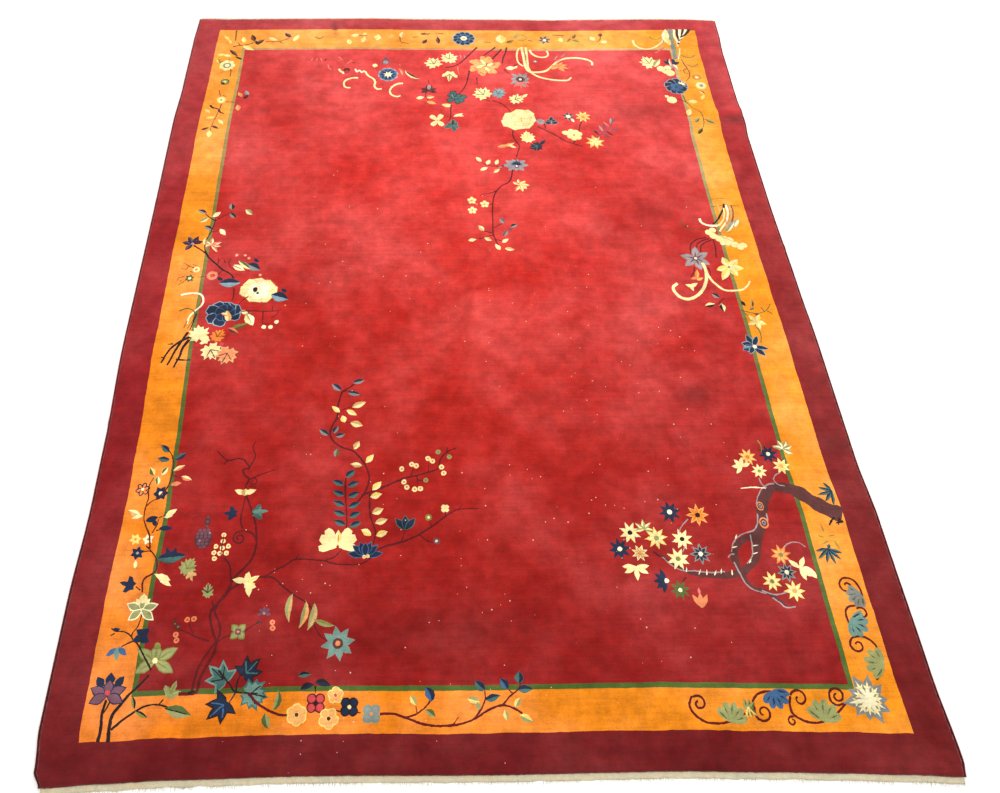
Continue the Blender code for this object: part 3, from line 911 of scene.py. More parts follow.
for turn, length in ((4, 0.046), (40, 0.052), (78, 0.056), (114, 0.060), (152, 0.046), (188, 0.064),
                     (224, 0.052), (262, 0.046), (296, 0.056), (330, 0.052)):
    leaf((1.152, -1.592), length, 0.013, turn, "ivory", shape=STAR)
    a = math.radians(turn)
    fork = (1.152 + math.cos(a) * length * 0.55, -1.592 + math.sin(a) * length * 0.55)
    leaf(fork, 0.018, 0.007, turn + 48, "cream", shape=STAR)
    leaf(fork, 0.018, 0.007, turn - 48, "cream", shape=STAR)


# ---- Right: an old plum bough that leans in over the field, with star flowers at its twigs ----

def bough(rows, yarn="bark"):
    """A thick branch: rows of (x, y, width)."""
    line = knots_from(smooth_line([row[:2] for row in rows], 0.009))
    lengths = np.cumsum([0.0] + [math.dist(a[:2], b[:2]) for a, b in zip(rows, rows[1:])])
    along = np.linspace(0.0, lengths[-1], len(line))
    widths = np.interp(along, lengths, [row[2] for row in rows])
    widths = widths * (1.0 + 0.10 * np.sin(along * 95.0) + 0.07 * np.sin(along * 41.0 + 1.0))
    ribbon(line, widths, yarn)


bough(((1.246, -0.992, 0.050), (1.205, -0.975, 0.056), (1.160, -0.945, 0.054), (1.110, -0.905, 0.044),
       (1.060, -0.888, 0.036), (1.015, -0.895, 0.036), (0.985, -0.925, 0.040), (0.968, -0.965, 0.040),
       (0.958, -1.010, 0.038), (0.940, -1.050, 0.034), (0.922, -1.085, 0.030), (0.915, -1.125, 0.026),
       (0.890, -1.160, 0.026), (0.850, -1.188, 0.024), (0.800, -1.200, 0.022), (0.740, -1.200, 0.017),
       (0.680, -1.192, 0.013), (0.630, -1.165, 0.010), (0.580, -1.125, 0.008)))
bough(((0.945, -1.055, 0.024), (0.900, -1.068, 0.022), (0.865, -1.085, 0.024), (0.840, -1.115, 0.024),
       (0.834, -1.150, 0.022), (0.842, -1.185, 0.018), (0.855, -1.220, 0.015), (0.875, -1.242, 0.012),
       (0.915, -1.258, 0.012), (0.945, -1.280, 0.010), (0.972, -1.305, 0.007)))
for points in (((1.035, -0.873), (1.010, -0.876), (0.985, -0.893), (0.965, -0.920), (0.952, -0.950)),
               ((0.948, -0.985), (0.940, -1.020), (0.920, -1.045), (0.885, -1.055), (0.858, -1.070),
                (0.838, -1.092), (0.828, -1.120)),
               ((0.980, -0.985), (0.978, -1.010), (0.968, -1.035)),
               ((0.905, -1.060), (0.903, -1.100), (0.895, -1.135), (0.872, -1.160)),
               ((0.790, -1.187), (0.745, -1.190), (0.690, -1.184), (0.648, -1.182), (0.612, -1.162),
                (0.588, -1.135)),
               ((0.828, -1.155), (0.838, -1.190), (0.850, -1.225), (0.872, -1.248), (0.912, -1.262)),
               ((0.835, -1.128), (0.820, -1.130), (0.812, -1.140)),
               ((0.930, -1.275), (0.950, -1.292), (0.968, -1.308), (1.000, -1.306)),
               ((0.900, -1.252), (0.940, -1.266), (0.985, -1.258))):
    line_of(points, "dove", 0.005, 0.7)
line_of(((1.000, -0.890), (0.960, -0.886), (0.910, -0.889)), "ivory", 0.005)
line_of(((1.005, -1.115), (1.020, -1.098), (1.045, -1.088), (1.070, -1.092), (1.085, -1.105)), "dove",
    0.0045)
for x, y, turn in ((0.775, -1.195, 70), (0.752, -1.200, 60), (0.726, -1.198, 75), (0.700, -1.196, 60),
                   (0.905, -1.100, 10), (0.900, -1.128, 20), (0.850, -1.075, 60), (0.832, -1.105, 10),
                   (0.660, -1.188, 80), (0.812, -1.200, 80), (0.878, -1.160, 50)):
    leaf((x, y), 0.020, 0.0045, turn, "ivory", shape=STAR)
for x, y, size in ((0.964, -0.957, 0.026), (0.963, -1.018, 0.032)):
    disc((x, y), size, "salmon", squash=1.3)
    disc((x, y), size * 0.72, "bark", squash=1.3)
    disc((x, y), size * 0.46, "dove", squash=1.3)
    disc((x, y), size * 0.24, "bark", squash=1.3)
for points in (((1.215, -1.000), (1.200, -1.015), (1.190, -1.030)), ((1.232, -1.004), (1.222, -1.028)),
               ((1.243, -1.015), (1.215, -1.022))):
    line_of(points, "black", 0.009, 0.5)
for x, y, turn, length in ((1.165, -1.055, 100, 0.034), (1.178, -1.068, 10, 0.026),
    (1.170, -1.085, 205, 0.032),
                           (1.192, -1.085, -70, 0.034), (1.160, -1.072, 165, 0.024)):
    leaf((x, y), length, 0.006, turn, "olive", shape=STAR)


def bamboo(at, size, turn, yarn, shade, rows):
    """A fan of narrow pointed leaves from one knot."""
    for degrees, reach in rows:
        leaf(at, size * reach, size * 0.20, turn + degrees, yarn, shade, shape=POINTED)


bamboo((1.162, -1.112), 0.062, -90, "navy", "teal", ((-80, 0.75), (-50, 0.95), (-18, 0.85), (12, 0.95),
                                                     (42, 0.85), (70, 0.80), (150, 0.3)))
bamboo((1.235, -0.905), 0.062, 200, "navy", "teal",
    ((-75, 0.7), (-40, 0.8), (-8, 0.95), (26, 0.85), (60, 0.9)))


def star_flower(at, size, yarn, tips, eye, turn=12.0, count=8):
    """A flat eight-rayed flower: narrow rays tipped with a second yarn."""
    for k in range(count):
        angle = turn + 360.0 * k / count
        a = math.radians(angle)
        leaf(at, size / 2, size * 0.20, angle, tips, shape=STAR)
        leaf((at[0] + math.cos(a) * size * 0.02, at[1] + math.sin(a) * size * 0.02),
             size * 0.36, size * 0.13, angle, yarn, shape=STAR)
    disc(at, size * 0.22, eye)


for x, y, size, yarn, tips, eye, turn in (
    (0.640, -0.975, 0.082, "navy", "navy", "ivory", 10),
    (0.736, -0.987, 0.082, "orange", "peach", "black", 0),
    (0.490, -1.048, 0.078, "cream", "cream", "black", 20),
    (0.578, -1.068, 0.082, "cream", "straw", "sage", 5),
    (0.666, -1.073, 0.076, "cream", "cream", "black", 15),
    (0.446, -1.105, 0.080, "navy", "navy", "ivory", 8),
    (0.513, -1.120, 0.060, "tan", "cream", "salmon", 22),
    (0.720, -1.126, 0.076, "navy", "grey", "ivory", 0),
    (0.640, -1.142, 0.080, "cream", "cream", "olive", 18),
    (0.628, -1.247, 0.070, "moss", "moss", "ivory", 10),
    (0.994, -1.132, 0.074, "peach", "orange", "olive", 10),
    (0.999, -1.192, 0.070, "navy", "grey", "ivory", 5),
    (0.942, -1.222, 0.068, "cream", "straw", "olive", 15),
    (1.010, -1.255, 0.072, "cream", "straw", "peach", 0),
    (1.040, -0.757, 0.074, "navy", "navy", "ivory", 12),
    (0.992, -0.824, 0.060, "cream", "cream", "sage", 4),
    (1.078, -0.806, 0.066, "straw", "cream", "peach", 12),
    (0.962, -0.768, 0.070, "straw", "peach", "orange", 20),
):
    star_flower((x, y), size, yarn, tips, eye, turn)
for k in range(5):
    leaf((0.540, -1.036), 0.036, 0.014, -10 + 50 * k, "sage", "cream", shape=STAR)
    leaf((0.492, -1.168), 0.046, 0.018, (176, 206, -30, 4, 270)[k], "cream", shape=POINTED)
    leaf((0.586, -1.216), 0.044, 0.016, (110, 145, 180, 215, 250)[k], "navy", shape=POINTED)
    leaf((1.048, -1.178), 0.044, 0.018, (-10, -42, -75, 60, 140)[k], "cream", shape=POINTED)
    leaf((0.932, -0.805), 0.036, 0.016, (80, 130, 180, 230, 20)[k], "cream", shape=POINTED)
    leaf((1.100, -0.738), 0.038, 0.016, (60, 110, 160, 20, -30)[k], "ivory", "sage", shape=POINTED)
leaf((1.078, -1.182), 0.036, 0.020, -60, "cream", shape=POINTED)
dots(((0.588, -1.216),), 0.016, "ivory")
for turn in (60, 90, 120):
    leaf((0.690, -1.305), 0.050, 0.018, turn, "salmon", shape=POINTED)
leaf((0.690, -1.262), 0.022, 0.010, 90, "pink")
line_of(((0.700, -1.002), (0.672, -1.028), (0.660, -1.050)), "dove", 0.0045)
line_of(((0.660, -1.118), (0.672, -1.098)), "dove", 0.0045)
line_of(((0.560, -1.115), (0.580, -1.135), (0.570, -1.120)), "wine", 0.007)
line_of(((0.655, -1.205), (0.640, -1.220)), "wine", 0.006)
line_of(((1.015, -0.700), (1.022, -0.725), (1.018, -0.748)), "olive", 0.005)
line_of(((0.985, -0.850), (0.990, -0.875), (1.005, -0.888)), "dove", 0.005)
line_of(((1.062, -0.832), (1.045, -0.842), (1.036, -0.860), (1.050, -0.878), (1.072, -0.882)), "dove",
    0.005)


# ---- Left band, middle: three thick roots, a blue and a cream peony, and a climbing twig ----

for points in (((-1.135, -0.225), (-1.175, -0.250), (-1.205, -0.280), (-1.222, -0.315), (-1.232, -0.348)),
               ((-1.150, -0.205), (-1.175, -0.262), (-1.190, -0.300), (-1.200, -0.335), (-1.208, -0.358)),
               ((-1.140, -0.240), (-1.160, -0.280), (-1.165, -0.315), (-1.175, -0.345), (-1.182, -0.368))):
    line_of(points, "black", 0.012, 0.6)
line_of(((-1.200, -0.260), (-1.222, -0.262)), "black", 0.007)
line_of(((-1.225, -0.325), (-1.238, -0.320)), "black", 0.006)
line_of(((-1.178, -0.332), (-1.150, -0.335), (-1.120, -0.335)), "black", 0.008)
line_of(((-1.205, -0.022), (-1.180, -0.014), (-1.150, -0.012), (-1.122, -0.022), (-1.110, -0.048),
         (-1.115, -0.075), (-1.135, -0.100), (-1.155, -0.130), (-1.160, -0.165)), "ivory", 0.009, 0.7)
line_of(((-1.200, -0.102), (-1.175, -0.090), (-1.150, -0.095), (-1.135, -0.115), (-1.140, -0.150),
         (-1.155, -0.190)), "moss", 0.006)
line_of(((-1.128, -0.115), (-1.138, -0.165), (-1.146, -0.205)), "black", 0.006)
line_of(((-1.160, -0.150), (-1.170, -0.185)), "brown", 0.005)
lobed_leaf((-1.104, -0.222), 0.092, 100, "cream", None, None, VINE_LEAF)
lobed_leaf((-1.050, -0.288), 0.092, -60, "cream", None, "bark", VINE_LEAF)
lobed_leaf((-0.982, -0.305), 0.096, -110, "salmon", "tan", "bark", VINE_LEAF)
lobed_leaf((-1.032, -0.228), 0.070, 60, "orange", None, "brown", RAGGED_LEAF)
lobed_leaf((-1.075, -0.245), 0.050, 150, "cream", None, None, THREE_LOBED)
disc((-1.010, -0.262), 0.018, "rose")
leaves(((-0.950, -0.180, 0.080, 0.026, 25, "brown", "olive"),
    (-0.972, -0.198, 0.050, 0.020, -30, "bark", "salmon"),
        (-0.912, -0.146, 0.066, 0.040, -62, "cream", "ivory", "sage"),))
leaf((-0.922, -0.118), 0.036, 0.020, 150, "cream")
line_of(((-0.905, -0.108), (-0.928, -0.120)), "moss", 0.004)

for k in range(8):
    angle = (-8, 26, 58, 92, 124, 158, 206, 252)[k]
    reach = (0.072, 0.076, 0.064, 0.062, 0.070, 0.078, 0.074, 0.064)[k]
    rimmed((-1.020, -0.118), reach, 0.052, angle, "navy", "sky", 0.0035, NOTCHED)
for k in range(6):
    angle = (5, 60, 115, 165, 230, 290)[k]
    rimmed((-1.014, -0.112), 0.044, 0.038, angle, "navy", "blue", 0.0035, NOTCHED)
leaf((-1.008, -0.102), 0.050, 0.026, -75, "cream", "peach", shape=NOTCHED)
leaf((-1.030, -0.114), 0.034, 0.014, -20, "salmon", "cream")
line_of(((-1.012, -0.095), (-0.995, -0.102)), "navy", 0.006)

for k in range(9):
    angle = (0, 38, 72, 104, 142, 178, 222, 262, 318)[k]
    reach = (0.078, 0.070, 0.062, 0.068, 0.078, 0.082, 0.066, 0.060, 0.070)[k]
    rimmed((-0.888, -0.002), reach, 0.062, angle, "cream", "tan", 0.0018, NOTCHED)
for k in range(6):
    rimmed((-0.888, 0.000), 0.050, 0.046, 20 + 60 * k, "ivory", "straw", 0.0018, NOTCHED)
disc((-0.905, 0.004), 0.020, "black", squash=1.3)
disc((-0.893, -0.014), 0.012, "navy")
line_of(((-0.930, -0.030), (-0.955, -0.055), (-0.965, -0.075)), "wine", 0.005)
leaves((
    (-1.012, 0.040, 0.090, 0.046, 2, "navy", "sky", None, LEAF, 0, -1),
    (-0.800, -0.034, 0.078, 0.050, -18, "navy", "sky", None, LEAF, 0, -1),
    (-0.922, 0.122, 0.066, 0.044, -30, "navy", "grey", None, LEAF, 0, -1),
    (-0.985, 0.118, 0.060, 0.028, -28, "cream", "ivory", "moss"),
    (-0.962, 0.132, 0.070, 0.024, -40, "cream", "moss"),
))
for x, y in ((-1.045, 0.052), (-0.775, -0.010), (-0.905, 0.148)):
    leaf((x, y), 0.030, 0.018, 140, "navy")
dots(((-0.852, -0.182), (-0.825, -0.182), (-0.803, -0.158)), 0.019, "ivory", "cream")
dots(((-1.001, 0.186), (-0.965, 0.185), (-0.948, 0.169), (-0.892, 0.080)), 0.016, "pink", "cream")
dots(((-0.775, -0.076),), 0.009, "salmon")
line_of(((-0.950, -0.104), (-0.900, -0.103), (-0.850, -0.106), (-0.815, -0.104), (-0.788, -0.100)), "wine",
    0.006)
line_of(((-0.862, -0.106), (-0.860, -0.140), (-0.858, -0.165), (-0.830, -0.168)), "wine", 0.0055)
line_of(((-0.825, -0.104), (-0.825, -0.080)), "wine", 0.005)
line_of(((-0.828, -0.140), (-0.808, -0.125), (-0.800, -0.105)), "wine", 0.005)
line_of(((-0.993, 0.012), (-0.990, -0.030), (-0.994, -0.050)), "wine", 0.007)
line_of(((-1.135, 0.205), (-1.118, 0.175), (-1.085, 0.142), (-1.050, 0.108), (-1.015, 0.085),
    (-1.000, 0.062)),
        "black", 0.008, 0.8)
line_of(((-1.050, 0.108), (-1.075, 0.080), (-1.130, 0.072), (-1.150, 0.070)), "wine", 0.004)
for points in (((-1.075, 0.135), (-1.072, 0.160), (-1.055, 0.172)), ((-1.070, 0.155), (-1.080, 0.172)),
               ((-1.045, 0.145), (-1.052, 0.162)), ((-1.020, 0.120), (-1.030, 0.150), (-1.022, 0.168)),
               ((-1.018, 0.118), (-0.998, 0.105))):
    line_of(points, "wine", 0.0045)
ring_flower((-1.090, 0.078), 0.046, "salmon", "wine", "pink")
disc((-1.090, 0.078), 0.016, "rose")
ring_flower((-1.160, 0.110), 0.034, "cream", "gold", "tan")
flower((-1.182, 0.064), 0.042, 6, "moss", None, "ivory", 20, STAR, fat=1.1, eye_size=0.34)
for points in (((-1.170, 0.118), (-1.195, 0.130), (-1.212, 0.142), (-1.222, 0.140)),
    ((-1.195, 0.128), (-1.205, 0.112), (-1.225, 0.116)),
               ((-1.178, 0.135), (-1.160, 0.132)), ((-1.185, 0.100), (-1.172, 0.095)),
               ((-1.195, 0.055), (-1.212, 0.040), (-1.225, 0.030)),
               ((-1.205, 0.075), (-1.228, 0.066), (-1.232, 0.050)),
               ((-1.215, 0.055), (-1.222, 0.045))):
    line_of(points, "brown", 0.0045)
for turn in (170, 120, 62, 15, 232):
    leaf((-1.196, 0.250), 0.046, 0.022, turn, "plum" if turn > 100 else "wine", "navy", shape=POINTED)
disc((-1.196, 0.250), 0.014, "dove")
line_of(((-1.190, 0.240), (-1.160, 0.218), (-1.135, 0.198)), "wine", 0.008, 0.8)
for turn, size in ((90, 0.040), (20, 0.044), (-12, 0.044), (-52, 0.050), (150, 0.038), (200, 0.034)):
    leaf((-1.115, 0.243), size, 0.015, turn, "cream", "pink", shape=POINTED)
line_of(((-1.135, 0.200), (-1.142, 0.235), (-1.140, 0.270), (-1.128, 0.310), (-1.118, 0.360),
    (-1.118, 0.395)),
        "black", 0.006)
line_of(((-1.118, 0.380), (-1.145, 0.400), (-1.165, 0.420)), "black", 0.006)
line_of(((-1.118, 0.375), (-1.095, 0.398), (-1.065, 0.418), (-1.052, 0.432)), "wine", 0.005)
line_of(((-1.128, 0.315), (-1.105, 0.318), (-1.092, 0.325)), "wine", 0.005)
leaves((
    (-1.180, 0.433, 0.048, 0.022, 155, "grey", "black", None, LEAF, 0, -1),
    (-1.163, 0.385, 0.044, 0.024, 35, "cream", "sage"), (-1.114, 0.416, 0.042, 0.022, 40, "ivory", "cream"),
    (-1.054, 0.462, 0.038, 0.026, 100, "grey", "black", None, LEAF, 0, -1),
    (-1.043, 0.408, 0.044, 0.022, -48, "grey", "black"),
    (-0.974, 0.428, 0.044, 0.024, -45, "cream", "sage"),
    (-1.076, 0.314, 0.046, 0.022, -52, "cream", "ivory"),
    (-1.142, 0.340, 0.040, 0.022, 150, "grey", "black", None, LEAF, 0, -1),
    (-1.145, 0.262, 0.038, 0.018, 95, "sage", "cream"),
))


# ---- Right band, middle: a fly-whisk of long cords and tassels, ribbons, lilies and a small twig ----

for y, x0, x1, yarn in ((0.494, 1.085, 1.175, "olive"), (0.475, 1.090, 1.170, "sage"),
    (0.452, 1.076, 1.200, "moss")):
    line_of(((x0, y - 0.002), ((x0 + x1) / 2, y + 0.003), (x1, y)), yarn, 0.0045)
for x, end, yarn, width in ((1.166, 1.110, "brown", 0.006), (1.158, 1.100, "tan", 0.008),
    (1.150, 1.092, "orange", 0.006),
                            (1.143, 1.084, "ivory", 0.010), (1.108, 1.112, "tan", 0.006)):
    line_of(((x, 0.458), (x + 0.002, 0.420), ((x + end) / 2 + 0.014, 0.365), (end, 0.305)), yarn, width,
        0.8)
line_of(((1.136, 0.466), (1.130, 0.440), (1.110, 0.405), (1.088, 0.370), (1.062, 0.345)), "black", 0.010,
    0.7)
line_of(((0.930, 0.372), (0.925, 0.350), (0.940, 0.328), (0.970, 0.316), (1.010, 0.318), (1.050, 0.330)),
        "brown", 0.008)
line_of(((1.012, 0.380), (1.012, 0.362), (1.028, 0.345), (1.055, 0.338), (1.082, 0.338)), "ivory", 0.011,
    0.9)
line_of(((1.085, 0.338), (1.110, 0.365), (1.125, 0.400), (1.130, 0.440)), "cream", 0.009)
leaves(((1.150, 0.345, 0.090, 0.026, 45, "grey", "dove"), (1.138, 0.330, 0.080, 0.018, 52, "ivory", "sage"),
        (1.170, 0.352, 0.050, 0.014, 60, "ivory")))
for x, y, size in ((1.035, 0.300, 0.030), (1.055, 0.312, 0.030), (1.052, 0.280, 0.034),
    (1.075, 0.265, 0.036),
                   (1.095, 0.262, 0.036), (1.118, 0.255, 0.034), (1.105, 0.240, 0.032),
                   (1.135, 0.230, 0.036),
                   (1.155, 0.218, 0.034), (1.172, 0.226, 0.030), (1.085, 0.240, 0.026)):
    disc((x, y), size, "cream")
for points in (((1.050, 0.305), (1.075, 0.280), (1.110, 0.262), (1.140, 0.240)),
    ((1.090, 0.285), (1.100, 0.262))):
    line_of(points, "tan", 0.004)
for points in (((1.020, 0.272), (0.980, 0.262), (0.950, 0.240), (0.938, 0.215), (0.936, 0.185)),
               ((1.030, 0.265), (0.995, 0.252), (0.972, 0.235), (0.965, 0.215)),
               ((1.040, 0.258), (1.005, 0.240), (0.985, 0.220), (0.980, 0.190)),
               ((1.045, 0.262), (1.048, 0.225), (1.044, 0.190), (1.040, 0.160))):
    line_of(points, "wine", 0.007, 0.8)
for turn in (82, 28, -32, -78, 218, 165):
    rimmed((0.950, 0.156), 0.066, 0.034, turn, "dove", "grey", 0.0035, POINTED)
    leaf((0.950, 0.156), 0.040, 0.008, turn, "plum", shape=STAR)
disc((0.950, 0.156), 0.024, "plum")
disc((0.950, 0.156), 0.015, "ivory")
for turn, size in ((108, 0.058), (40, 0.062), (-8, 0.062), (-60, 0.056), (195, 0.058), (238, 0.082)):
    leaf((1.083, 0.108), size, 0.032, turn, "straw", "cream", shape=POINTED)
disc((1.083, 0.108), 0.012, "olive")
line_of(((0.975, 0.132), (0.980, 0.100), (0.978, 0.060), (0.965, 0.020), (0.942, -0.018), (0.912, -0.045),
         (0.878, -0.058), (0.848, -0.048), (0.828, -0.018), (0.828, 0.005), (0.848, 0.024)), "cream", 0.014,
         0.9)
line_of(((0.974, 0.130), (0.986, 0.062), (1.008, 0.018), (1.038, -0.012), (1.080, -0.016), (1.115, -0.010),
         (1.140, 0.010), (1.155, 0.034)), "cream", 0.012, 0.6)
line_of(((0.936, 0.110), (0.928, 0.080), (0.910, 0.058)), "wine", 0.008)
line_of(((0.992, 0.110), (0.998, 0.080), (0.992, 0.062)), "wine", 0.007)
leaves(((0.940, 0.072, 0.044, 0.018, 80, "peach", "orange"), (0.925, 0.050, 0.034, 0.014, 190, "salmon"),
        (0.948, 0.046, 0.034, 0.014, 20, "peach"), (0.898, 0.010, 0.040, 0.018, 160, "cream"),
        (0.915, 0.014, 0.044, 0.018, 32, "cream"), (0.905, 0.000, 0.034, 0.014, -80, "cream")))
leaves((
    (0.996, -0.042, 0.038, 0.024, -40, "grey", "black", None, LEAF, 0, 1),
    (0.964, -0.088, 0.046, 0.022, 10, "cream", "black", None, LEAF, 0, -1),
    (1.012, -0.102, 0.042, 0.024, -85, "cream", "black", None, LEAF, 0, -1),
))
line_of(((1.030, -0.055), (1.010, -0.068), (1.000, -0.085)), "wine", 0.005)
line_of(((1.000, -0.078), (0.985, -0.088)), "wine", 0.004)

# The small twig on the band below, and its blue flower.
for points in (((1.085, -0.112), (1.110, -0.125), (1.145, -0.132), (1.180, -0.122), (1.200, -0.102),
    (1.212, -0.085)),
               ((1.085, -0.112), (1.100, -0.135), (1.112, -0.152)),
               ((1.140, -0.130), (1.145, -0.150), (1.158, -0.160)),
               ((1.178, -0.122), (1.168, -0.100)), ((1.190, -0.118), (1.210, -0.135))):
    line_of(points, "moss", 0.005)
line_of(((1.122, -0.182), (1.135, -0.215), (1.136, -0.250), (1.128, -0.275)), "moss", 0.006)
leaves(((1.100, -0.080, 0.034, 0.014, 115, "black"), (1.138, -0.082, 0.036, 0.012, 80, "black", "sage"),
        (1.130, -0.108, 0.024, 0.010, 20, "navy", "sage"), (1.148, -0.140, 0.030, 0.012, -40, "brown")))
for turn in (60, 130, 200, -20, -80):
    leaf((1.135, -0.172), 0.040, 0.020, turn, "straw", "cream", shape=POINTED)
for turn, reach, width in ((108, 0.060, 0.028), (62, 0.056, 0.026), (160, 0.048, 0.034),
    (200, 0.050, 0.034),
                           (-50, 0.062, 0.026), (-12, 0.060, 0.022), (240, 0.042, 0.024)):
    rimmed((1.095, -0.290), reach, width, turn, "navy", "sky", 0.003, POINTED)
leaf((1.088, -0.292), 0.040, 0.012, 190, "sky", "blue")
disc((1.100, -0.292), 0.018, "ivory")


# ---- Far end, middle: chrysanthemum, peonies and ribbons hanging from the gold band ----

for points in (((0.082, 1.556), (0.050, 1.510), (0.018, 1.465), (-0.015, 1.425), (-0.050, 1.402),
    (-0.085, 1.395)),
               ((0.178, 1.556), (0.145, 1.522), (0.112, 1.488)),
               ((0.208, 1.540), (0.182, 1.500), (0.158, 1.465), (0.138, 1.425), (0.128, 1.405)),
               ((0.236, 1.556), (0.226, 1.510), (0.212, 1.470), (0.205, 1.430))):
    line_of(points, "wine", 0.009, 0.8)
line_of(((0.035, 1.372), (0.026, 1.320), (0.015, 1.270), (-0.005, 1.225), (-0.025, 1.195)), "wine", 0.008)
line_of(((0.070, 1.320), (0.070, 1.290), (0.068, 1.262)), "wine", 0.006)
line_of(((-0.022, 1.400), (-0.022, 1.370), (-0.016, 1.340)), "salmon", 0.005)
line_of(((0.212, 1.380), (0.222, 1.362), (0.240, 1.348)), "wine", 0.006)
line_of(((0.262, 1.408), (0.285, 1.425), (0.308, 1.442)), "wine", 0.006)
for x, turn in ((-0.008, 70), (0.012, -70)):
    line_of(((x, 1.495), (x + 0.004, 1.480), (x, 1.468)), "dove", 0.005)
lobed_leaf((-0.142, 1.422), 0.096, 118, "cream", None, "moss", VINE_LEAF)
lobed_leaf((-0.066, 1.460), 0.096, 82, "cream", None, "moss", VINE_LEAF)
lobed_leaf((-0.064, 1.342), 0.088, -98, "cream", None, "moss", THREE_LOBED)

# The chrysanthemum's long petals curl over at their tips.
for k in range(13):
    angle = 100.0 + 360.0 * k / 13 + (7 if k % 2 else -5)
    a = math.radians(angle)
    reach = (0.086, 0.070)[k % 2] * (1.0 - 0.14 * abs(math.sin(a)))
    yarn = ("peach", "salmon", "tan")[k % 3]
    leaf((0.112, 1.408), reach, 0.027, angle, yarn, shape=ROUND, bend=34 if k % 2 else -34)
    tip = (0.112 + math.cos(a) * reach * 0.86, 1.408 + math.sin(a) * reach * 0.86)
    disc(tip, 0.027, "peach")
    disc((tip[0] + 0.004, tip[1] - 0.003), 0.009, "salmon")
for k in range(8):
    leaf((0.116, 1.410), 0.048, 0.017, 20 + 45 * k, ("cream", "peach")[k % 2], shape=ROUND, bend=40)
line_of(((0.128, 1.428), (0.122, 1.408), (0.105, 1.396)), "brown", 0.005)
line_of(((0.080, 1.362), (0.096, 1.352), (0.104, 1.340)), "rose", 0.006)
leaves(((0.245, 1.390, 0.050, 0.028, 5, "cream", "ivory"), (0.272, 1.398, 0.026, 0.016, 40, "cream")))
for turn in range(0, 360, 40):
    leaf((0.288, 1.302), 0.062 if turn % 80 else 0.050, 0.026, turn + 12, "dove", "grey", shape=POINTED)
for turn in (235, 270, 305):
    leaf((0.288, 1.300), 0.066, 0.016, turn, "pink", shape=POINTED)
disc((0.288, 1.304), 0.048, "plum", squash=0.9)
disc((0.288, 1.304), 0.030, "black")
disc((0.288, 1.304), 0.016, "ivory")

# Ribbons.
line_of(((0.300, 1.550), (0.288, 1.520), (0.283, 1.480), (0.285, 1.445), (0.296, 1.420), (0.312, 1.405)),
    "cream", 0.010, 0.8)
line_of(((0.312, 1.556), (0.316, 1.500), (0.318, 1.450), (0.322, 1.400), (0.335, 1.366), (0.372, 1.358),
         (0.412, 1.364), (0.440, 1.384), (0.468, 1.420), (0.505, 1.454), (0.550, 1.468), (0.600, 1.468),
         (0.640, 1.456), (0.664, 1.436), (0.662, 1.412)), "cream", 0.013, 0.8)
line_of(((0.334, 1.556), (0.334, 1.500), (0.334, 1.440), (0.336, 1.390), (0.350, 1.352), (0.385, 1.322),
         (0.430, 1.305), (0.480, 1.296), (0.525, 1.297), (0.545, 1.318)), "cream", 0.013, 0.7)
line_of(((0.330, 1.500), (0.330, 1.460), (0.331, 1.430)), "sage", 0.005)
line_of(((0.352, 1.535), (0.362, 1.505), (0.385, 1.482), (0.415, 1.474), (0.438, 1.482), (0.446, 1.502),
         (0.440, 1.525)), "cream", 0.011, 0.8)
line_of(((0.485, 1.440), (0.525, 1.470), (0.560, 1.476)), "salmon", 0.005)
for points in (((0.478, 1.455), (0.482, 1.470), (0.494, 1.486)),
    ((0.512, 1.478), (0.524, 1.492), (0.532, 1.506))):
    line_of(points, "dove", 0.006)
for turn, reach in ((20, 0.050), (-14, 0.052), (55, 0.044), (-50, 0.044), (100, 0.034), (195, 0.052),
    (165, 0.040)):
    leaf((0.488, 1.398), reach, 0.020, turn, "salmon", "peach", shape=POINTED)
disc((0.375, 1.442), 0.022, "grey")
disc((0.375, 1.442), 0.010, "ivory")

# To the left: a round blue peony among pale hooked tendrils.
for k in range(10):
    a = math.radians(36.0 * k + 10)
    disc((-0.375 + 0.036 * math.cos(a), 1.342 + 0.036 * math.sin(a)), 0.030, "sky")
disc((-0.375, 1.342), 0.088, "blue")
for k in range(10):
    leaf((-0.375, 1.342), 0.040, 0.012, 36 * k, "navy", shape=ROUND)
for k in range(7):
    leaf((-0.375, 1.342), 0.026, 0.010, 51 * k + 12, "ivory", shape=STAR)
disc((-0.388, 1.440), 0.040, "plum")
disc((-0.388, 1.436), 0.028, "dove")
disc((-0.388, 1.468), 0.020, "plum")
disc((-0.442, 1.411), 0.026, "cream")
line_of(((-0.490, 1.366), (-0.475, 1.335), (-0.448, 1.310), (-0.438, 1.285), (-0.442, 1.258),
    (-0.428, 1.235),
         (-0.405, 1.236)), "cream", 0.010, 0.9)
line_of(((-0.524, 1.318), (-0.555, 1.316), (-0.585, 1.300), (-0.594, 1.272), (-0.584, 1.248),
    (-0.560, 1.244)),
        "cream", 0.010, 0.9)
line_of(((-0.300, 1.276), (-0.330, 1.270), (-0.356, 1.245), (-0.365, 1.215), (-0.352, 1.188),
    (-0.325, 1.178),
         (-0.312, 1.186)), "cream", 0.010, 0.9)
line_of(((-0.542, 1.385), (-0.530, 1.362), (-0.520, 1.376), (-0.508, 1.358), (-0.498, 1.370),
    (-0.488, 1.360)),
        "ivory", 0.009, 0.9, 0.005)
leaves(((-0.312, 1.365, 0.058, 0.013, 105, "pink", "peach", None, LEAF, 70),
        (-0.250, 1.338, 0.105, 0.020, -42, "cream", "wine", None, LEAF, 60, 1)))
line_of(((-0.318, 1.420), (-0.312, 1.400)), "pink", 0.005)
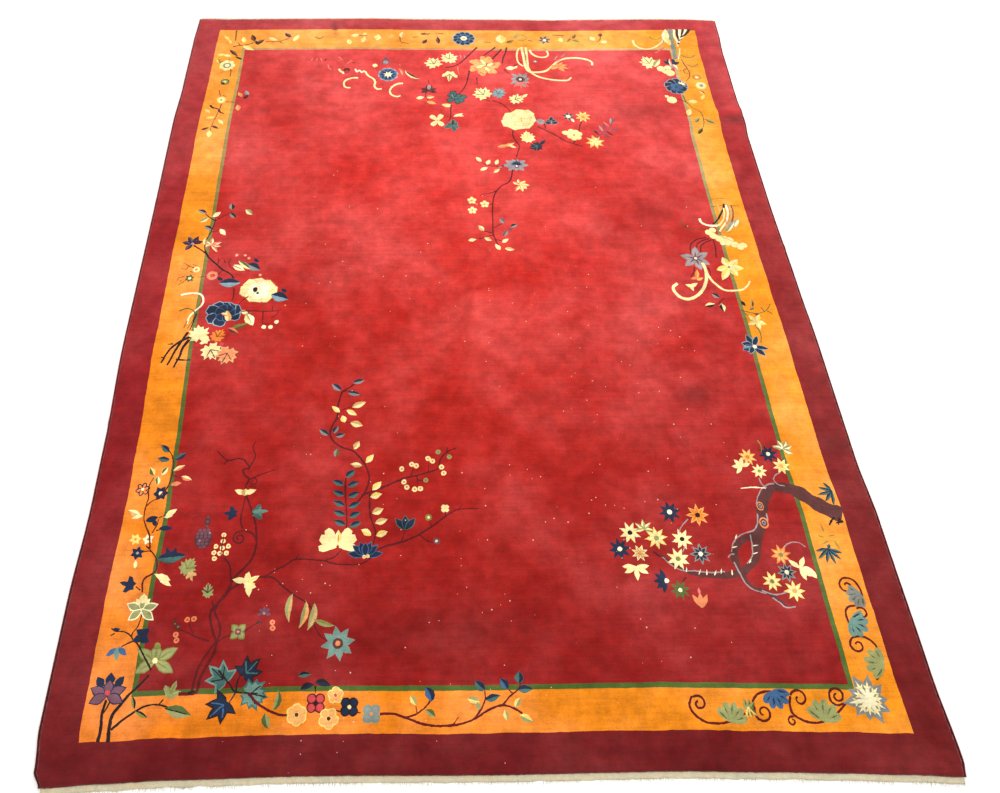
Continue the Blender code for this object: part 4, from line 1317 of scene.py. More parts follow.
for points in (((-0.765, 1.452), (-0.762, 1.466)), ((-0.740, 1.448), (-0.736, 1.466)),
    ((-0.712, 1.448), (-0.720, 1.468)),
               ((-0.628, 1.478), (-0.612, 1.460)), ((-0.628, 1.452), (-0.606, 1.458)),
               ((-0.585, 1.425), (-0.560, 1.452)),
               ((-0.680, 1.418), (-0.672, 1.388), (-0.660, 1.384))):
    line_of(points, "pink", 0.007, 0.8)
for points in (((-0.690, 1.462), (-0.700, 1.448)), ((-0.555, 1.430), (-0.545, 1.438))):
    line_of(points, "wine", 0.008)
line_of(((-0.622, 1.385), (-0.614, 1.366), (-0.602, 1.360), (-0.600, 1.348)), "cream", 0.011, 0.8)
disc((-0.583, 1.378), 0.034, "wine")
disc((-0.583, 1.362), 0.024, "maroon_ground")
for turn in (160, 105, 70, 20, 200, -18):
    leaf((-0.172, 1.222), 0.042, 0.022, turn, "wine", "bark", shape=POINTED)
leaf((-0.172, 1.228), 0.034, 0.020, 85, "dove", shape=ROUND)
line_of(((-0.172, 1.298), (-0.170, 1.270)), "wine", 0.005)
line_of(((-0.186, 1.208), (-0.188, 1.180), (-0.178, 1.155)), "wine", 0.005)
leaves(((-0.215, 1.170, 0.042, 0.022, 15, "cream"), (-0.165, 1.175, 0.040, 0.022, 10, "cream", "salmon"),
        (-0.160, 1.134, 0.050, 0.022, -18, "peach")))
for turn, reach, width in ((100, 0.062, 0.036), (128, 0.050, 0.030), (20, 0.064, 0.032), (50, 0.048, 0.026),
                           (-20, 0.050, 0.028), (200, 0.044, 0.030), (-60, 0.040, 0.028)):
    rimmed((-0.045, 1.160), reach, width, turn, "teal", "navy", 0.0035, NOTCHED)
line_of(((-0.058, 1.195), (-0.050, 1.170), (-0.020, 1.168)), "sky", 0.004)
leaf((-0.110, 1.122), 0.050, 0.022, -20, "cream")
leaf((-0.105, 1.112), 0.044, 0.020, 12, "cream", "straw")
line_of(((-0.064, 1.120), (-0.068, 1.080), (-0.068, 1.040), (-0.078, 1.005)), "wine", 0.008)
for turn in (135, 60, 235, -55):
    leaf((-0.134, 1.010), 0.048, 0.026, turn, "cream", shape=NOTCHED)
disc((-0.134, 1.010), 0.010, "peach")
leaves(((-0.032, 1.046, 0.052, 0.016, 25, "cream", "ivory"), (-0.022, 1.042, 0.036, 0.012, -10, "cream")))
for turn, reach in ((80, 0.046), (200, 0.046), (-30, 0.036), (-75, 0.044), (150, 0.030), (40, 0.034)):
    rimmed((-0.062, 0.974), reach, 0.028, turn, "teal", "grey", 0.003, POINTED)
leaf((-0.062, 0.974), 0.040, 0.010, 85, "navy")

# In the middle: three vine leaves over a full cream peony, and its drooping twigs.
lobed_leaf((0.098, 1.192), 0.104, 128, "cream", None, "moss", VINE_LEAF)
lobed_leaf((0.170, 1.196), 0.096, 60, "sky", "grey", "moss", VINE_LEAF, squash=0.8)
lobed_leaf((0.250, 1.156), 0.092, 20, "cream", None, "moss", VINE_LEAF, squash=0.8)
leaf((0.285, 1.170), 0.040, 0.018, 40, "cream")
for points in (((0.135, 1.148), (0.170, 1.135), (0.200, 1.105), (0.218, 1.078), (0.228, 1.055)),
               ((0.100, 1.160), (0.130, 1.142)),
               ((0.228, 0.945), (0.222, 0.905), (0.232, 0.868), (0.248, 0.835), (0.240, 0.800),
               (0.228, 0.760)),
               ((0.345, 0.965), (0.380, 0.940), (0.425, 0.905), (0.470, 0.865), (0.505, 0.848),
               (0.545, 0.828)),
               ((0.380, 0.985), (0.382, 0.950)), ((0.560, 1.000), (0.548, 0.965), (0.540, 0.930)),
               ((0.520, 0.880), (0.512, 0.862), (0.500, 0.850))):
    line_of(points, "wine", 0.0065, 0.8)
for k in range(9):
    angle = (10, 44, 84, 118, 158, 196, 232, 276, 322)[k]
    reach = (0.082, 0.090, 0.078, 0.070, 0.084, 0.092, 0.078, 0.066, 0.074)[k]
    rimmed((0.262, 1.010), reach, 0.064, angle, "cream", "tan", 0.002, NOTCHED)
for k in range(5):
    rimmed((0.272, 1.016), 0.052, 0.046, 30 + 72 * k, "cream", "tan", 0.002, NOTCHED)
line_of(((0.250, 0.998), (0.275, 1.005), (0.290, 1.025)), "tan", 0.003)
lobed_leaf((0.366, 0.996), 0.050, 150, "dove", None, "grey", RAGGED_LEAF)
for turn in (90, 55, 130, 20, 160):
    rimmed((0.415, 0.985), 0.052 if turn == 90 else 0.036, 0.026, turn, "navy", "grey", 0.003, POINTED)
leaf((0.414, 0.975), 0.034, 0.006, 90, "grey")
lobed_leaf((0.292, 0.884), 0.086, 95, "cream", None, "straw", RAGGED_LEAF)
lobed_leaf((0.334, 0.832), 0.072, 200, "navy", "black", "teal", RAGGED_LEAF)
leaf((0.342, 0.836), 0.052, 0.018, 50, "navy")
leaves(((0.200, 0.842, 0.060, 0.018, 25, "cream", "peach"),
    (0.172, 0.832, 0.056, 0.020, 10, "salmon", "peach"),
        (0.215, 0.830, 0.040, 0.014, -25, "cream")))
for k in range(6):
    leaf((0.500, 1.034), 0.030, 0.014, 30 + 60 * k, "grey", "navy", shape=POINTED)
disc((0.500, 1.034), 0.022, "ivory")
leaf((0.512, 1.018), 0.026, 0.014, -60, "ivory")
star_flower((0.571, 1.032), 0.078, "peach", "straw", "orange", 18)
for turn, reach in ((160, 0.058), (110, 0.042), (55, 0.038), (10, 0.044), (-40, 0.044), (-90, 0.040),
    (210, 0.036)):
    rimmed((0.512, 0.908), reach, 0.030, turn, "cream", "straw", 0.002, ROUND)
disc((0.514, 0.906), 0.010, "plum")
star_flower((0.608, 0.860), 0.096, "straw", "peach", "orange", 10)
for k in range(5):
    leaf((0.608, 0.860), 0.030, 0.014, 72 * k, "cream", shape=ROUND)
line_of(((0.618, 0.884), (0.648, 0.915), (0.682, 0.945), (0.700, 0.975), (0.708, 1.010)), "plum", 0.006)
for x, y, turn, yarn in ((0.640, 0.925, 165, "plum"), (0.655, 0.932, 110, "dove"),
    (0.670, 0.945, 100, "plum"),
                         (0.688, 0.965, 125, "pink"), (0.700, 0.985, 85, "dove"),
                         (0.652, 0.912, -30, "plum"),
                         (0.672, 0.930, -45, "wine"), (0.690, 0.945, -5, "plum"),
                         (0.704, 0.992, 50, "plum"),
                         (0.632, 0.905, 120, "wine")):
    leaf((x, y), 0.042, 0.011, turn, yarn, shape=POINTED)


# ---- The spray that hangs below it: a grey flower, blossoms, buds and trailing leaves ----

for k in range(9):
    angle = (0, 34, 72, 108, 146, 182, 222, 270, 318)[k]
    rimmed((0.222, 0.708), (0.060, 0.056, 0.040, 0.040, 0.056, 0.062, 0.050, 0.036, 0.050)[k], 0.026, angle,
        "dove", "sky", 0.003, POINTED)
for k in range(5):
    leaf((0.226, 0.712), 0.026, 0.014, 10 + 40 * k, "navy", "blue", shape=POINTED)
disc((0.226, 0.700), 0.020, "plum")
disc((0.226, 0.702), 0.011, "ivory")
leaves(((0.052, 0.747, 0.038, 0.020, 130, "cream"), (0.096, 0.729, 0.036, 0.020, 60, "cream"),
        (0.136, 0.729, 0.036, 0.018, 70, "cream"), (0.074, 0.686, 0.038, 0.020, 25, "cream"),
        (0.132, 0.674, 0.038, 0.018, 40, "cream", "tan"), (0.150, 0.700, 0.024, 0.012, 10, "dove")))
line_of(((0.168, 0.705), (0.135, 0.702), (0.100, 0.706), (0.068, 0.722)), "wine", 0.005)
for turn, reach in ((100, 0.036), (150, 0.036), (40, 0.036), (-5, 0.046), (-40, 0.040), (240, 0.044),
    (-75, 0.044)):
    leaf((0.232, 0.585), reach, 0.018, turn, "salmon" if turn > 60 else "peach", "cream", shape=POINTED)
line_of(((0.205, 0.680), (0.198, 0.640), (0.185, 0.605), (0.150, 0.580), (0.125, 0.550), (0.110, 0.515),
         (0.102, 0.470), (0.098, 0.420), (0.096, 0.360), (0.094, 0.300), (0.106, 0.250), (0.120, 0.225)),
         "wine", 0.007, 0.8)
for points in (((0.122, 0.548), (0.095, 0.535), (0.060, 0.528), (0.045, 0.515)),
    ((0.102, 0.470), (0.085, 0.468)),
               ((0.096, 0.330), (0.120, 0.345), (0.138, 0.356)),
               ((0.095, 0.300), (0.062, 0.312), (0.050, 0.322)),
               ((0.094, 0.290), (0.060, 0.280), (0.030, 0.268)), ((0.100, 0.265), (0.130, 0.258))):
    line_of(points, "wine", 0.005)
for x, y in ((0.010, 0.492), (0.066, 0.470), (0.010, 0.434)):
    flower((x, y), 0.044, 5, "cream", "tan", "orange", 90, ROUND, rim_width=0.0018, eye_size=0.2)
dots(((0.030, 0.470),), 0.012, "pink")
leaves(((0.138, 0.372, 0.036, 0.024, 120, "grey", "plum", None, LEAF, 0, -1),
    (0.188, 0.344, 0.036, 0.022, 30, "grey", "black"),
        (0.148, 0.300, 0.038, 0.022, 60, "grey", "plum"), (0.170, 0.322, 0.026, 0.014, 110, "plum"),
        (0.044, 0.330, 0.038, 0.022, 125, "cream", "tan"), (0.002, 0.264, 0.036, 0.018, 10, "cream"),
        (0.070, 0.268, 0.036, 0.020, -30, "cream", "tan"), (0.110, 0.224, 0.038, 0.020, 120, "cream"),
        (0.144, 0.258, 0.036, 0.018, 35, "cream"), (0.160, 0.212, 0.042, 0.020, -10, "cream", "tan")))


# ---- Far gold band, worn: small blossoms and leaves, a round blue flower in the middle ----

line_of(((-1.172, 1.692), (-1.170, 1.650), (-1.168, 1.605)), "brown", 0.009)
line_of(((-1.175, 1.560), (-1.130, 1.570), (-1.085, 1.582), (-1.060, 1.600)), "black", 0.007)
line_of(((-1.140, 1.572), (-1.155, 1.590)), "black", 0.006)
leaves(((-1.078, 1.630, 0.060, 0.026, 110, "black", "brown"),
    (-1.040, 1.597, 0.056, 0.024, 40, "black", "brown"),
        (-1.055, 1.590, 0.040, 0.018, 120, "black"), (-1.125, 1.615, 0.048, 0.024, 100, "straw", "cream"),
        (-1.094, 1.546, 0.070, 0.024, -28, "cream", "straw"),
        (-1.165, 1.508, 0.070, 0.020, -48, "black", "brown"),
        (-1.135, 1.468, 0.050, 0.014, -32, "black"), (-1.215, 1.630, 0.046, 0.016, 130, "straw"),
        (-1.195, 1.600, 0.040, 0.014, 115, "straw"), (-0.975, 1.618, 0.052, 0.022, -20, "straw", "cream"),
        (-0.855, 1.628, 0.062, 0.024, 65, "straw", "cream"),
        (-0.898, 1.650, 0.050, 0.024, -45, "black", "plum"),
        (-0.580, 1.600, 0.044, 0.028, 110, "straw", "cream"),
        (-0.550, 1.652, 0.042, 0.026, 10, "straw", "cream"),
        (-0.500, 1.662, 0.030, 0.022, 90, "straw"), (-0.507, 1.618, 0.050, 0.026, 75, "cream", "straw"),
        (-0.433, 1.636, 0.050, 0.034, 80, "cream", "straw"), (-0.360, 1.645, 0.050, 0.024, 40, "peach"),
        (-0.305, 1.658, 0.050, 0.030, 80, "peach", "cream"), (-0.190, 1.664, 0.044, 0.018, 0, "brown"),
        (-0.188, 1.602, 0.042, 0.022, 60, "black", "brown"),
        (-0.118, 1.612, 0.060, 0.022, 95, "black", "brown"),
        (0.105, 1.618, 0.050, 0.018, -30, "tan"), (0.210, 1.625, 0.070, 0.056, 95, "straw", "cream"),
        (0.255, 1.600, 0.044, 0.022, 30, "olive", "brown"),
        (0.595, 1.642, 0.042, 0.018, 60, "brown", "olive"),
        (0.602, 1.606, 0.044, 0.018, -20, "olive"), (0.565, 1.612, 0.046, 0.014, 55, "olive"),
        (0.522, 1.615, 0.036, 0.026, 90, "cream", "straw"),
        (0.690, 1.625, 0.040, 0.030, 120, "straw", "cream"),
        (0.748, 1.600, 0.036, 0.026, 20, "cream", "straw"),
        (0.735, 1.655, 0.030, 0.024, 60, "bark", "brown")))
for points in (((-1.010, 1.600), (-0.960, 1.598), (-0.910, 1.615), (-0.890, 1.632)),
    ((-0.940, 1.600), (-0.925, 1.590)),
               ((-0.760, 1.640), (-0.735, 1.625), (-0.715, 1.642)),
               ((-0.530, 1.650), (-0.505, 1.652), (-0.485, 1.655)),
               ((-0.318, 1.640), (-0.314, 1.600)), ((-0.175, 1.655), (-0.158, 1.672)),
               ((-0.250, 1.635), (-0.225, 1.640)),
               ((-0.090, 1.665), (-0.130, 1.672)), ((-0.310, 1.592), (-0.270, 1.585)),
               ((0.120, 1.600), (0.160, 1.590)),
               ((0.480, 1.655), (0.510, 1.652), (0.545, 1.648)),
               ((0.735, 1.645), (0.728, 1.615), (0.710, 1.600)),
               ((0.350, 1.612), (0.372, 1.604))):
    line_of(points, "brown", 0.006, 0.8)
for k in range(11):
    a = math.radians(360.0 / 11 * k)
    disc((0.016 + 0.045 * math.cos(a), 1.626 + 0.042 * math.sin(a)), 0.033, "sky")
    disc((0.016 + 0.042 * math.cos(a), 1.626 + 0.039 * math.sin(a)), 0.027, "navy")
disc((0.016, 1.626), 0.072, "blue")
for k in range(6):
    leaf((0.016, 1.626), 0.034, 0.012, 60 * k + 20, "navy", shape=ROUND)
disc((0.016, 1.628), 0.034, "ivory")
disc((0.016, 1.626), 0.016, "peach")
line_of(((0.280, 1.640), (0.300, 1.655), (0.330, 1.650), (0.345, 1.630), (0.325, 1.610), (0.300, 1.612)),
    "olive", 0.007)
leaf((0.285, 1.622), 0.040, 0.018, 70, "sage")
for k in range(6):
    leaf((0.437, 1.614), 0.034, 0.018, 60 * k + 8, "grey", "bark", shape=POINTED)
disc((0.437, 1.612), 0.018, "ivory")


# ---- Upper left band: ring blossoms on a thin vine ----

leaves(((-1.225, 1.495, 0.042, 0.018, 5, "straw"), (-1.195, 1.487, 0.046, 0.018, -12, "straw", "cream"),
        (-1.236, 1.448, 0.036, 0.020, 120, "olive", "straw"),
        (-1.098, 1.195, 0.040, 0.022, 120, "salmon", "peach"),
        (-1.098, 1.100, 0.044, 0.024, 100, "salmon", "peach"),
        (-1.066, 1.204, 0.042, 0.022, -60, "grey", "dove"),
        (-1.068, 1.178, 0.040, 0.018, 55, "wine"), (-1.242, 1.078, 0.038, 0.016, -40, "straw"),
        (-1.222, 1.030, 0.046, 0.016, 10, "straw"), (-1.170, 1.000, 0.046, 0.018, -48, "straw", "cream"),
        (-1.237, 0.955, 0.044, 0.014, 28, "bark"), (-1.192, 0.965, 0.042, 0.014, -28, "bark"),
        (-1.214, 0.922, 0.046, 0.024, 92, "straw", "cream")))
line_of(((-1.185, 1.470), (-1.178, 1.445)), "olive", 0.005)
disc((-1.188, 1.412), 0.074, "straw")
for k in range(7):
    a = math.radians(51.4 * k)
    disc((-1.188 + 0.030 * math.cos(a), 1.412 + 0.030 * math.sin(a)), 0.022, "cream")
disc((-1.188, 1.412), 0.040, "grey")
disc((-1.188, 1.412), 0.024, "cream")
line_of(((-1.166, 1.385), (-1.163, 1.355), (-1.164, 1.325)), "brown", 0.006)
line_of(((-1.215, 1.445), (-1.228, 1.430)), "moss", 0.008)
disc((-1.184, 1.288), 0.044, "moss")
disc((-1.184, 1.288), 0.030, "sage")
disc((-1.184, 1.288), 0.014, "straw")
disc((-1.192, 1.276), 0.018, "black")
for points in (((-1.205, 1.225), (-1.198, 1.200), (-1.192, 1.180)),
    ((-1.165, 1.142), (-1.120, 1.138), (-1.090, 1.130)),
               ((-1.182, 1.130), (-1.185, 1.095), (-1.192, 1.060), (-1.200, 1.020), (-1.208, 0.985),
               (-1.212, 0.940)),
               ((-1.182, 1.190), (-1.168, 1.180))):
    line_of(points, "brown", 0.0055)
disc((-1.186, 1.156), 0.044, "straw")
disc((-1.186, 1.156), 0.028, "cream")
disc((-1.186, 1.156), 0.014, "dove")
for points in (((-1.236, 1.118), (-1.220, 1.100), (-1.200, 1.095), (-1.185, 1.085)),
    ((-1.190, 1.085), (-1.178, 1.066), (-1.160, 1.060))):
    line_of(points, "black", 0.010, 0.6)


# ---- Far right corner and the band below: broad striped plumes, a peony and a loose vine ----

for offset, yarn in ((0.0, "ivory"), (0.020, "black"), (0.034, "ivory"), (0.052, "black"), (0.066, "ivory"),
    (0.083, "black")):
    line_of(((1.130 + offset, 1.700), (1.124 + offset * 0.9, 1.650 + offset * 0.3),
        (1.132 + offset * 0.55, 1.600 + offset * 0.6),
             (1.128 + offset * 0.30, 1.560 + offset * 0.9)), yarn, 0.017, 0.5)
line_of(((1.112, 1.700), (1.104, 1.640), (1.102, 1.580), (1.104, 1.520), (1.100, 1.460)), "grey", 0.030,
    0.7)
line_of(((1.118, 1.690), (1.112, 1.620), (1.112, 1.550), (1.108, 1.480)), "sage", 0.008, 0.7)
leaves(((1.078, 1.650, 0.110, 0.040, 80, "cream", "ivory"),
    (1.082, 1.605, 0.070, 0.030, 110, "straw", "cream")))
line_of(((1.135, 1.545), (1.126, 1.500), (1.112, 1.460)), "cream", 0.008)
line_of(((0.900, 1.612), (0.905, 1.575), (0.930, 1.548), (0.968, 1.540), (1.008, 1.556), (1.040, 1.585),
    (1.062, 1.612)),
        "cream", 0.011, 0.8)
line_of(((1.000, 1.508), (1.035, 1.535), (1.060, 1.560)), "pink", 0.009, 0.7)
line_of(((1.062, 1.612), (1.055, 1.580), (1.030, 1.558)), "dove", 0.006)
for points in (((0.990, 1.642), (1.005, 1.622), (1.035, 1.622), (1.062, 1.642)),
    ((1.135, 1.492), (1.155, 1.474), (1.185, 1.474), (1.206, 1.492)),
               ((1.148, 1.418), (1.170, 1.402), (1.195, 1.410), (1.206, 1.424))):
    line_of(points, "olive", 0.007, 0.8)
for points in (((1.128, 1.458), (1.135, 1.420), (1.145, 1.385), (1.150, 1.350), (1.140, 1.315),
    (1.120, 1.290)),
               ((1.145, 1.385), (1.125, 1.375), (1.128, 1.350), (1.148, 1.345)),
               ((1.112, 1.370), (1.100, 1.366))):
    line_of(points, "brown", 0.006)
lobed_leaf((0.960, 1.425), 0.112, 118, "cream", None, "moss", VINE_LEAF, squash=0.85)
leaf((0.975, 1.400), 0.075, 0.030, 55, "cream", "sage")
for turn, yarn in ((110, "navy"), (150, "navy"), (70, "navy"), (-60, "pink"), (-110, "dove"), (20, "navy")):
    leaf((1.072, 1.420), 0.046, 0.024, turn, yarn, "ivory" if yarn == "pink" else None, shape=POINTED)
leaf((1.068, 1.405), 0.060, 0.016, 92, "pink", "ivory")
for x, y, size in ((1.010, 1.385, 0.042), (1.035, 1.372, 0.052), (1.052, 1.352, 0.046),
    (1.046, 1.392, 0.036)):
    disc((x, y), size, "cream")
line_of(((1.028, 1.372), (1.040, 1.382), (1.050, 1.372)), "sage", 0.004)
for k in range(9):
    angle = (8, 48, 88, 128, 166, 204, 244, 282, 326)[k]
    rimmed((1.068, 1.252), (0.056, 0.052, 0.060, 0.062, 0.066, 0.062, 0.062, 0.060, 0.056)[k], 0.042, angle,
        "navy", "sky", 0.0035, NOTCHED)
for k in range(5):
    rimmed((1.064, 1.244), 0.036, 0.032, 70 + 72 * k, "blue", "navy", 0.003, NOTCHED)
for turn in (30, 80, 130, -20):
    leaf((1.094, 1.266), 0.024, 0.010, turn, "ivory", shape=STAR)
disc((1.025, 1.150), 0.048, "cream")
leaf((1.012, 1.168), 0.026, 0.018, 130, "cream")
ring_flower((1.180, 1.318), 0.044, "orange", "cream", "olive")
ring_flower((1.190, 1.256), 0.054, "cream", "dove", "straw")
leaves(((1.186, 1.205, 0.036, 0.018, -50, "straw", "brown"), (1.182, 1.172, 0.044, 0.018, 60, "straw"),
        (1.128, 1.138, 0.048, 0.026, 0, "straw", "cream"),
        (1.092, 1.062, 0.048, 0.028, 70, "cream", "straw"),
        (1.125, 1.012, 0.048, 0.018, 52, "moss", "sage"), (1.186, 1.000, 0.050, 0.022, -42, "moss", "sage"),
        (1.124, 0.932, 0.052, 0.018, 55, "black", "moss")))
line_of(((1.085, 1.185), (1.092, 1.140), (1.115, 1.095), (1.145, 1.060), (1.156, 1.030), (1.152, 0.990),
    (1.140, 0.955)),
        "moss", 0.006)
line_of(((1.152, 1.020), (1.172, 1.012)), "moss", 0.005)
line_of(((1.092, 1.135), (1.070, 1.150), (1.052, 1.155)), "wine", 0.005)


# ---- The pile's surface: knots, carving and creases ----

# Soft creases and rolls left by folding: (from x, y, to x, y, rise, half width).
CREASES = (
    (1.080, 1.060, 1.400, 1.082, 0.0045, 0.020),
    (1.060, 1.020, 1.400, 1.036, -0.0030, 0.022),
    (0.760, 1.070, 1.060, 1.040, -0.0012, 0.040),
    (1.100, 0.216, 1.380, 0.222, 0.0030, 0.018),
    (1.100, 0.180, 1.380, 0.180, -0.0022, 0.020),
    (-1.390, -0.600, -1.090, -0.606, 0.0030, 0.020),
    (-1.390, -0.645, -1.090, -0.645, -0.0022, 0.022),
    (1.090, -1.450, 1.345, -1.255, 0.0026, 0.010),
    (-0.668, 1.790, -0.645, 1.650, -0.0034, 0.012),
    (-0.690, 1.790, -0.668, 1.660, 0.0020, 0.012),
    (-0.020, 0.420, -0.018, -0.560, 0.0011, 0.010),
    (-0.020, -0.560, -0.024, -1.530, 0.0013, 0.010),
    (-0.044, 0.100, -0.046, -1.400, -0.0009, 0.012),
    (-0.705, 1.160, -0.708, 0.840, 0.0012, 0.008),
)
CARVING = 0.0013

# Painted shade and highlight: darker and paler patches along the folds and where the pile lies the other
# way, multiplied into the grounds' colours:
# (x, y, half size one way, half size the other, turn in degrees, change of tone).
PAINTED_LIGHT_PATCHES = (
    (0.88, 1.075, 0.15, 0.055, 4.0, -0.30),
    (0.82, -0.50, 0.075, 0.045, 0.0, -0.38),
    (0.82, 0.42, 0.11, 0.09, 20.0, -0.20),
    (0.62, 0.30, 0.12, 0.07, -15.0, -0.14),
    (1.33, 1.025, 0.11, 0.035, 3.0, -0.45),
    (1.33, 1.078, 0.10, 0.018, 3.0, 0.50),
    (1.30, -0.72, 0.09, 0.05, 0.0, -0.30),
    (-0.657, 1.735, 0.016, 0.075, 8.0, -0.50),
    (-0.13, -1.36, 0.30, 0.07, 4.0, -0.25),
    (-0.35, -1.52, 0.18, 0.04, 0.0, 0.12),
    (-0.62, 0.10, 0.18, 0.10, 30.0, -0.12),
    (-0.30, 0.70, 0.35, 0.18, 0.0, 0.10),
    (0.35, 0.20, 0.30, 0.30, 0.0, 0.08),
    (-0.75, 1.20, 0.05, 0.22, 0.0, -0.12),
)


def crease_rise(x, y):
    """How far the creases lift or sink the cloth at each place."""
    rise = np.zeros_like(x)
    for x0, y0, x1, y1, height, half_width in CREASES:
        run = np.array([x1 - x0, y1 - y0])
        length = np.linalg.norm(run)
        along = ((x - x0) * run[0] + (y - y0) * run[1]) / length
        aside = ((x - x0) * run[1] - (y - y0) * run[0]) / length
        aside = aside + 0.25 * half_width * np.sin(along * 31.0)
        ends = np.clip(along / 0.08 + 0.5, 0.0, 1.0) * np.clip((length - along) / 0.08 + 0.5, 0.0, 1.0)
        rise += height * ends * np.exp(-((aside / half_width) ** 2))
    return rise


def pile_height(x, y):
    """The cut pile's level: gently uneven, with the creases."""
    waves = 0.0005 * np.sin(2.3 * x + 1.1) * np.sin(3.1 * y - 0.4)
    waves += 0.00035 * np.sin(7.9 * x - 2.0 * y) + 0.00035 * np.sin(9.7 * y + 1.7 * x + 0.8)
    return PILE_TOP - 0.0004 + waves + crease_rise(x, y)


def spaced(start, end, step):
    return [start + (end - start) * i / step for i in range(step)]


def edge_ring(inset, step=0.010):
    """The cloth's edge all round, drawn in by inset, and strayed as the edges stray."""
    half_width = PILE_HALF_WIDTH - inset
    half_length = PILE_HALF_LENGTH - inset
    across = int(round(2 * PILE_HALF_WIDTH / step))
    along = int(round(2 * PILE_HALF_LENGTH / step))
    ring = [(x, -half_length) for x in spaced(-half_width, half_width, across)]
    ring += [(half_width, y) for y in spaced(-half_length, half_length, along)]
    ring += [(x, half_length) for x in spaced(half_width, -half_width, across)]
    ring += [(-half_width, y) for y in spaced(half_length, -half_length, along)]
    return [on_the_floor(x, y) for x, y in ring]


top_ring = np.array(edge_ring(SHOULDER_RINGS[0][0]))
points = [top_ring]
edges = [(i, (i + 1) % len(top_ring)) for i in range(len(top_ring))]
count = len(top_ring)
for outline, yarn in patches:
    total = len(outline)
    points.append(outline)
    edges += [(count + i, count + (i + 1) % total) for i in range(total)]
    count += total


def crossings_near(outline, x, y):
    """How often an outline goes round each place."""
    turns = np.zeros(len(x), int)
    for (x0, y0), (x1, y1) in zip(outline, np.roll(outline, -1, axis=0)):
        left = (x1 - x0) * (y - y0) - (x - x0) * (y1 - y0)
        turns += ((y0 <= y) & (y1 > y) & (left > 0)).astype(int)
        turns -= ((y0 > y) & (y1 <= y) & (left < 0)).astype(int)
    return turns


def crossings(outline, x, y):
    """The same, quicker for the long nearly square outlines of the grounds."""
    turns = np.zeros(len(x), int)
    if len(outline) > 300:
        low, high = outline.min(axis=0) + 0.07, outline.max(axis=0) - 0.07
        deep = (x > low[0]) & (x < high[0]) & (y > low[1]) & (y < high[1])
        turns[deep] = 1
        turns[~deep] = crossings_near(outline, x[~deep], y[~deep])
        return turns
    return crossings_near(outline, x, y)


# Loose points that let the surface bend: a grid, rows beside the creases, a ring just outside
# each small patch where the carving ends, and one inside it where the pile stands full again.
GRID = 0.024
grid_x, grid_y = np.meshgrid(
    np.linspace(-1.355, 1.355, int(2.71 / GRID)), np.linspace(-1.775, 1.775, int(3.55 / GRID)),
)
grid_x = grid_x.ravel() + hand.uniform(-0.2, 0.2, grid_x.size) * GRID
grid_y = grid_y.ravel() + hand.uniform(-0.2, 0.2, grid_y.size) * GRID
loose = [np.array([on_the_floor(x, y) for x, y in zip(grid_x, grid_y)])]
for x0, y0, x1, y1, height, half_width in CREASES:
    run = np.array([x1 - x0, y1 - y0])
    length = np.linalg.norm(run)
    aside = np.array([-run[1], run[0]]) / length
    steps = int(length / 0.014)
    for offset in (-1.8, -0.9, 0.0, 0.9, 1.8):
        loose.append(np.array([
            (x0, y0) + run * i / steps + aside * offset * half_width for i in range(steps + 1)
        ]))
for yarn, left, right, near, far, wander in GROUNDS[:2]:
    for shift in (0.004, -0.004):
        loose.append(np.array(wandering_edge(left, right, near, far, wander, shift)))
for outline, yarn in patches[len(GROUNDS):]:
    run = np.roll(outline, -1, axis=0) - np.roll(outline, 1, axis=0)
    run = run / np.maximum(np.linalg.norm(run, axis=1), 1e-9)[:, None]
    area = np.sum(outline[:, 0] * np.roll(outline[:, 1], -1) - np.roll(outline[:, 0], -1) * outline[:, 1])
    outward = np.stack([run[:, 1], -run[:, 0]], axis=1) * math.copysign(1.0, area)
    loose.append((outline + outward * 0.0042)[::2])
    middle = outline.mean(axis=0)
    if np.ptp(outline, axis=0).min() > 0.014 and len(outline) < 60:
        loose.append((middle + (outline - middle) * 0.55)[::2])
loose = np.concatenate(loose)

# Loose points closer than a knot to an outline, or off the cloth, are dropped.
knot = 0.0028
segments = np.concatenate([np.stack([o, np.roll(o, -1, axis=0)], axis=1) for o in points])
steps = np.maximum(1, (np.linalg.norm(segments[:, 1] - segments[:, 0], axis=1) / 0.003).astype(int))
edge_spots = np.repeat(segments[:, 0], steps, axis=0)
share = np.concatenate([np.arange(n) / n for n in steps])[:, None]
edge_spots = edge_spots + np.repeat(segments[:, 1] - segments[:, 0], steps, axis=0) * share
taken = set()
for x, y in np.round(edge_spots / knot).astype(int).tolist():
    taken.update((x + i, y + j) for i in (-1, 0, 1) for j in (-1, 0, 1))
inside = crossings(np.array(edge_ring(0.012, 0.05)), loose[:, 0], loose[:, 1]) != 0
kept = []
for (x, y), ok in zip(loose.tolist(), inside.tolist()):
    cell = (round(x / knot), round(y / knot))
    if ok and cell not in taken:
        taken.update((cell[0] + i, cell[1] + j) for i in (-1, 0, 1) for j in (-1, 0, 1))
        kept.append((x, y))
points.append(np.array(kept))
flat = np.concatenate(points)

spots, _, faces, *_ = delaunay_2d_cdt(
    [Vector(point) for point in flat], edges, [], 0, 1e-5, False,
)
spots = np.array([tuple(spot) for spot in spots])
faces = np.array(faces)
centres = spots[faces].mean(axis=1)
keep = crossings(top_ring, centres[:, 0], centres[:, 1]) != 0
faces, centres = faces[keep], centres[keep]

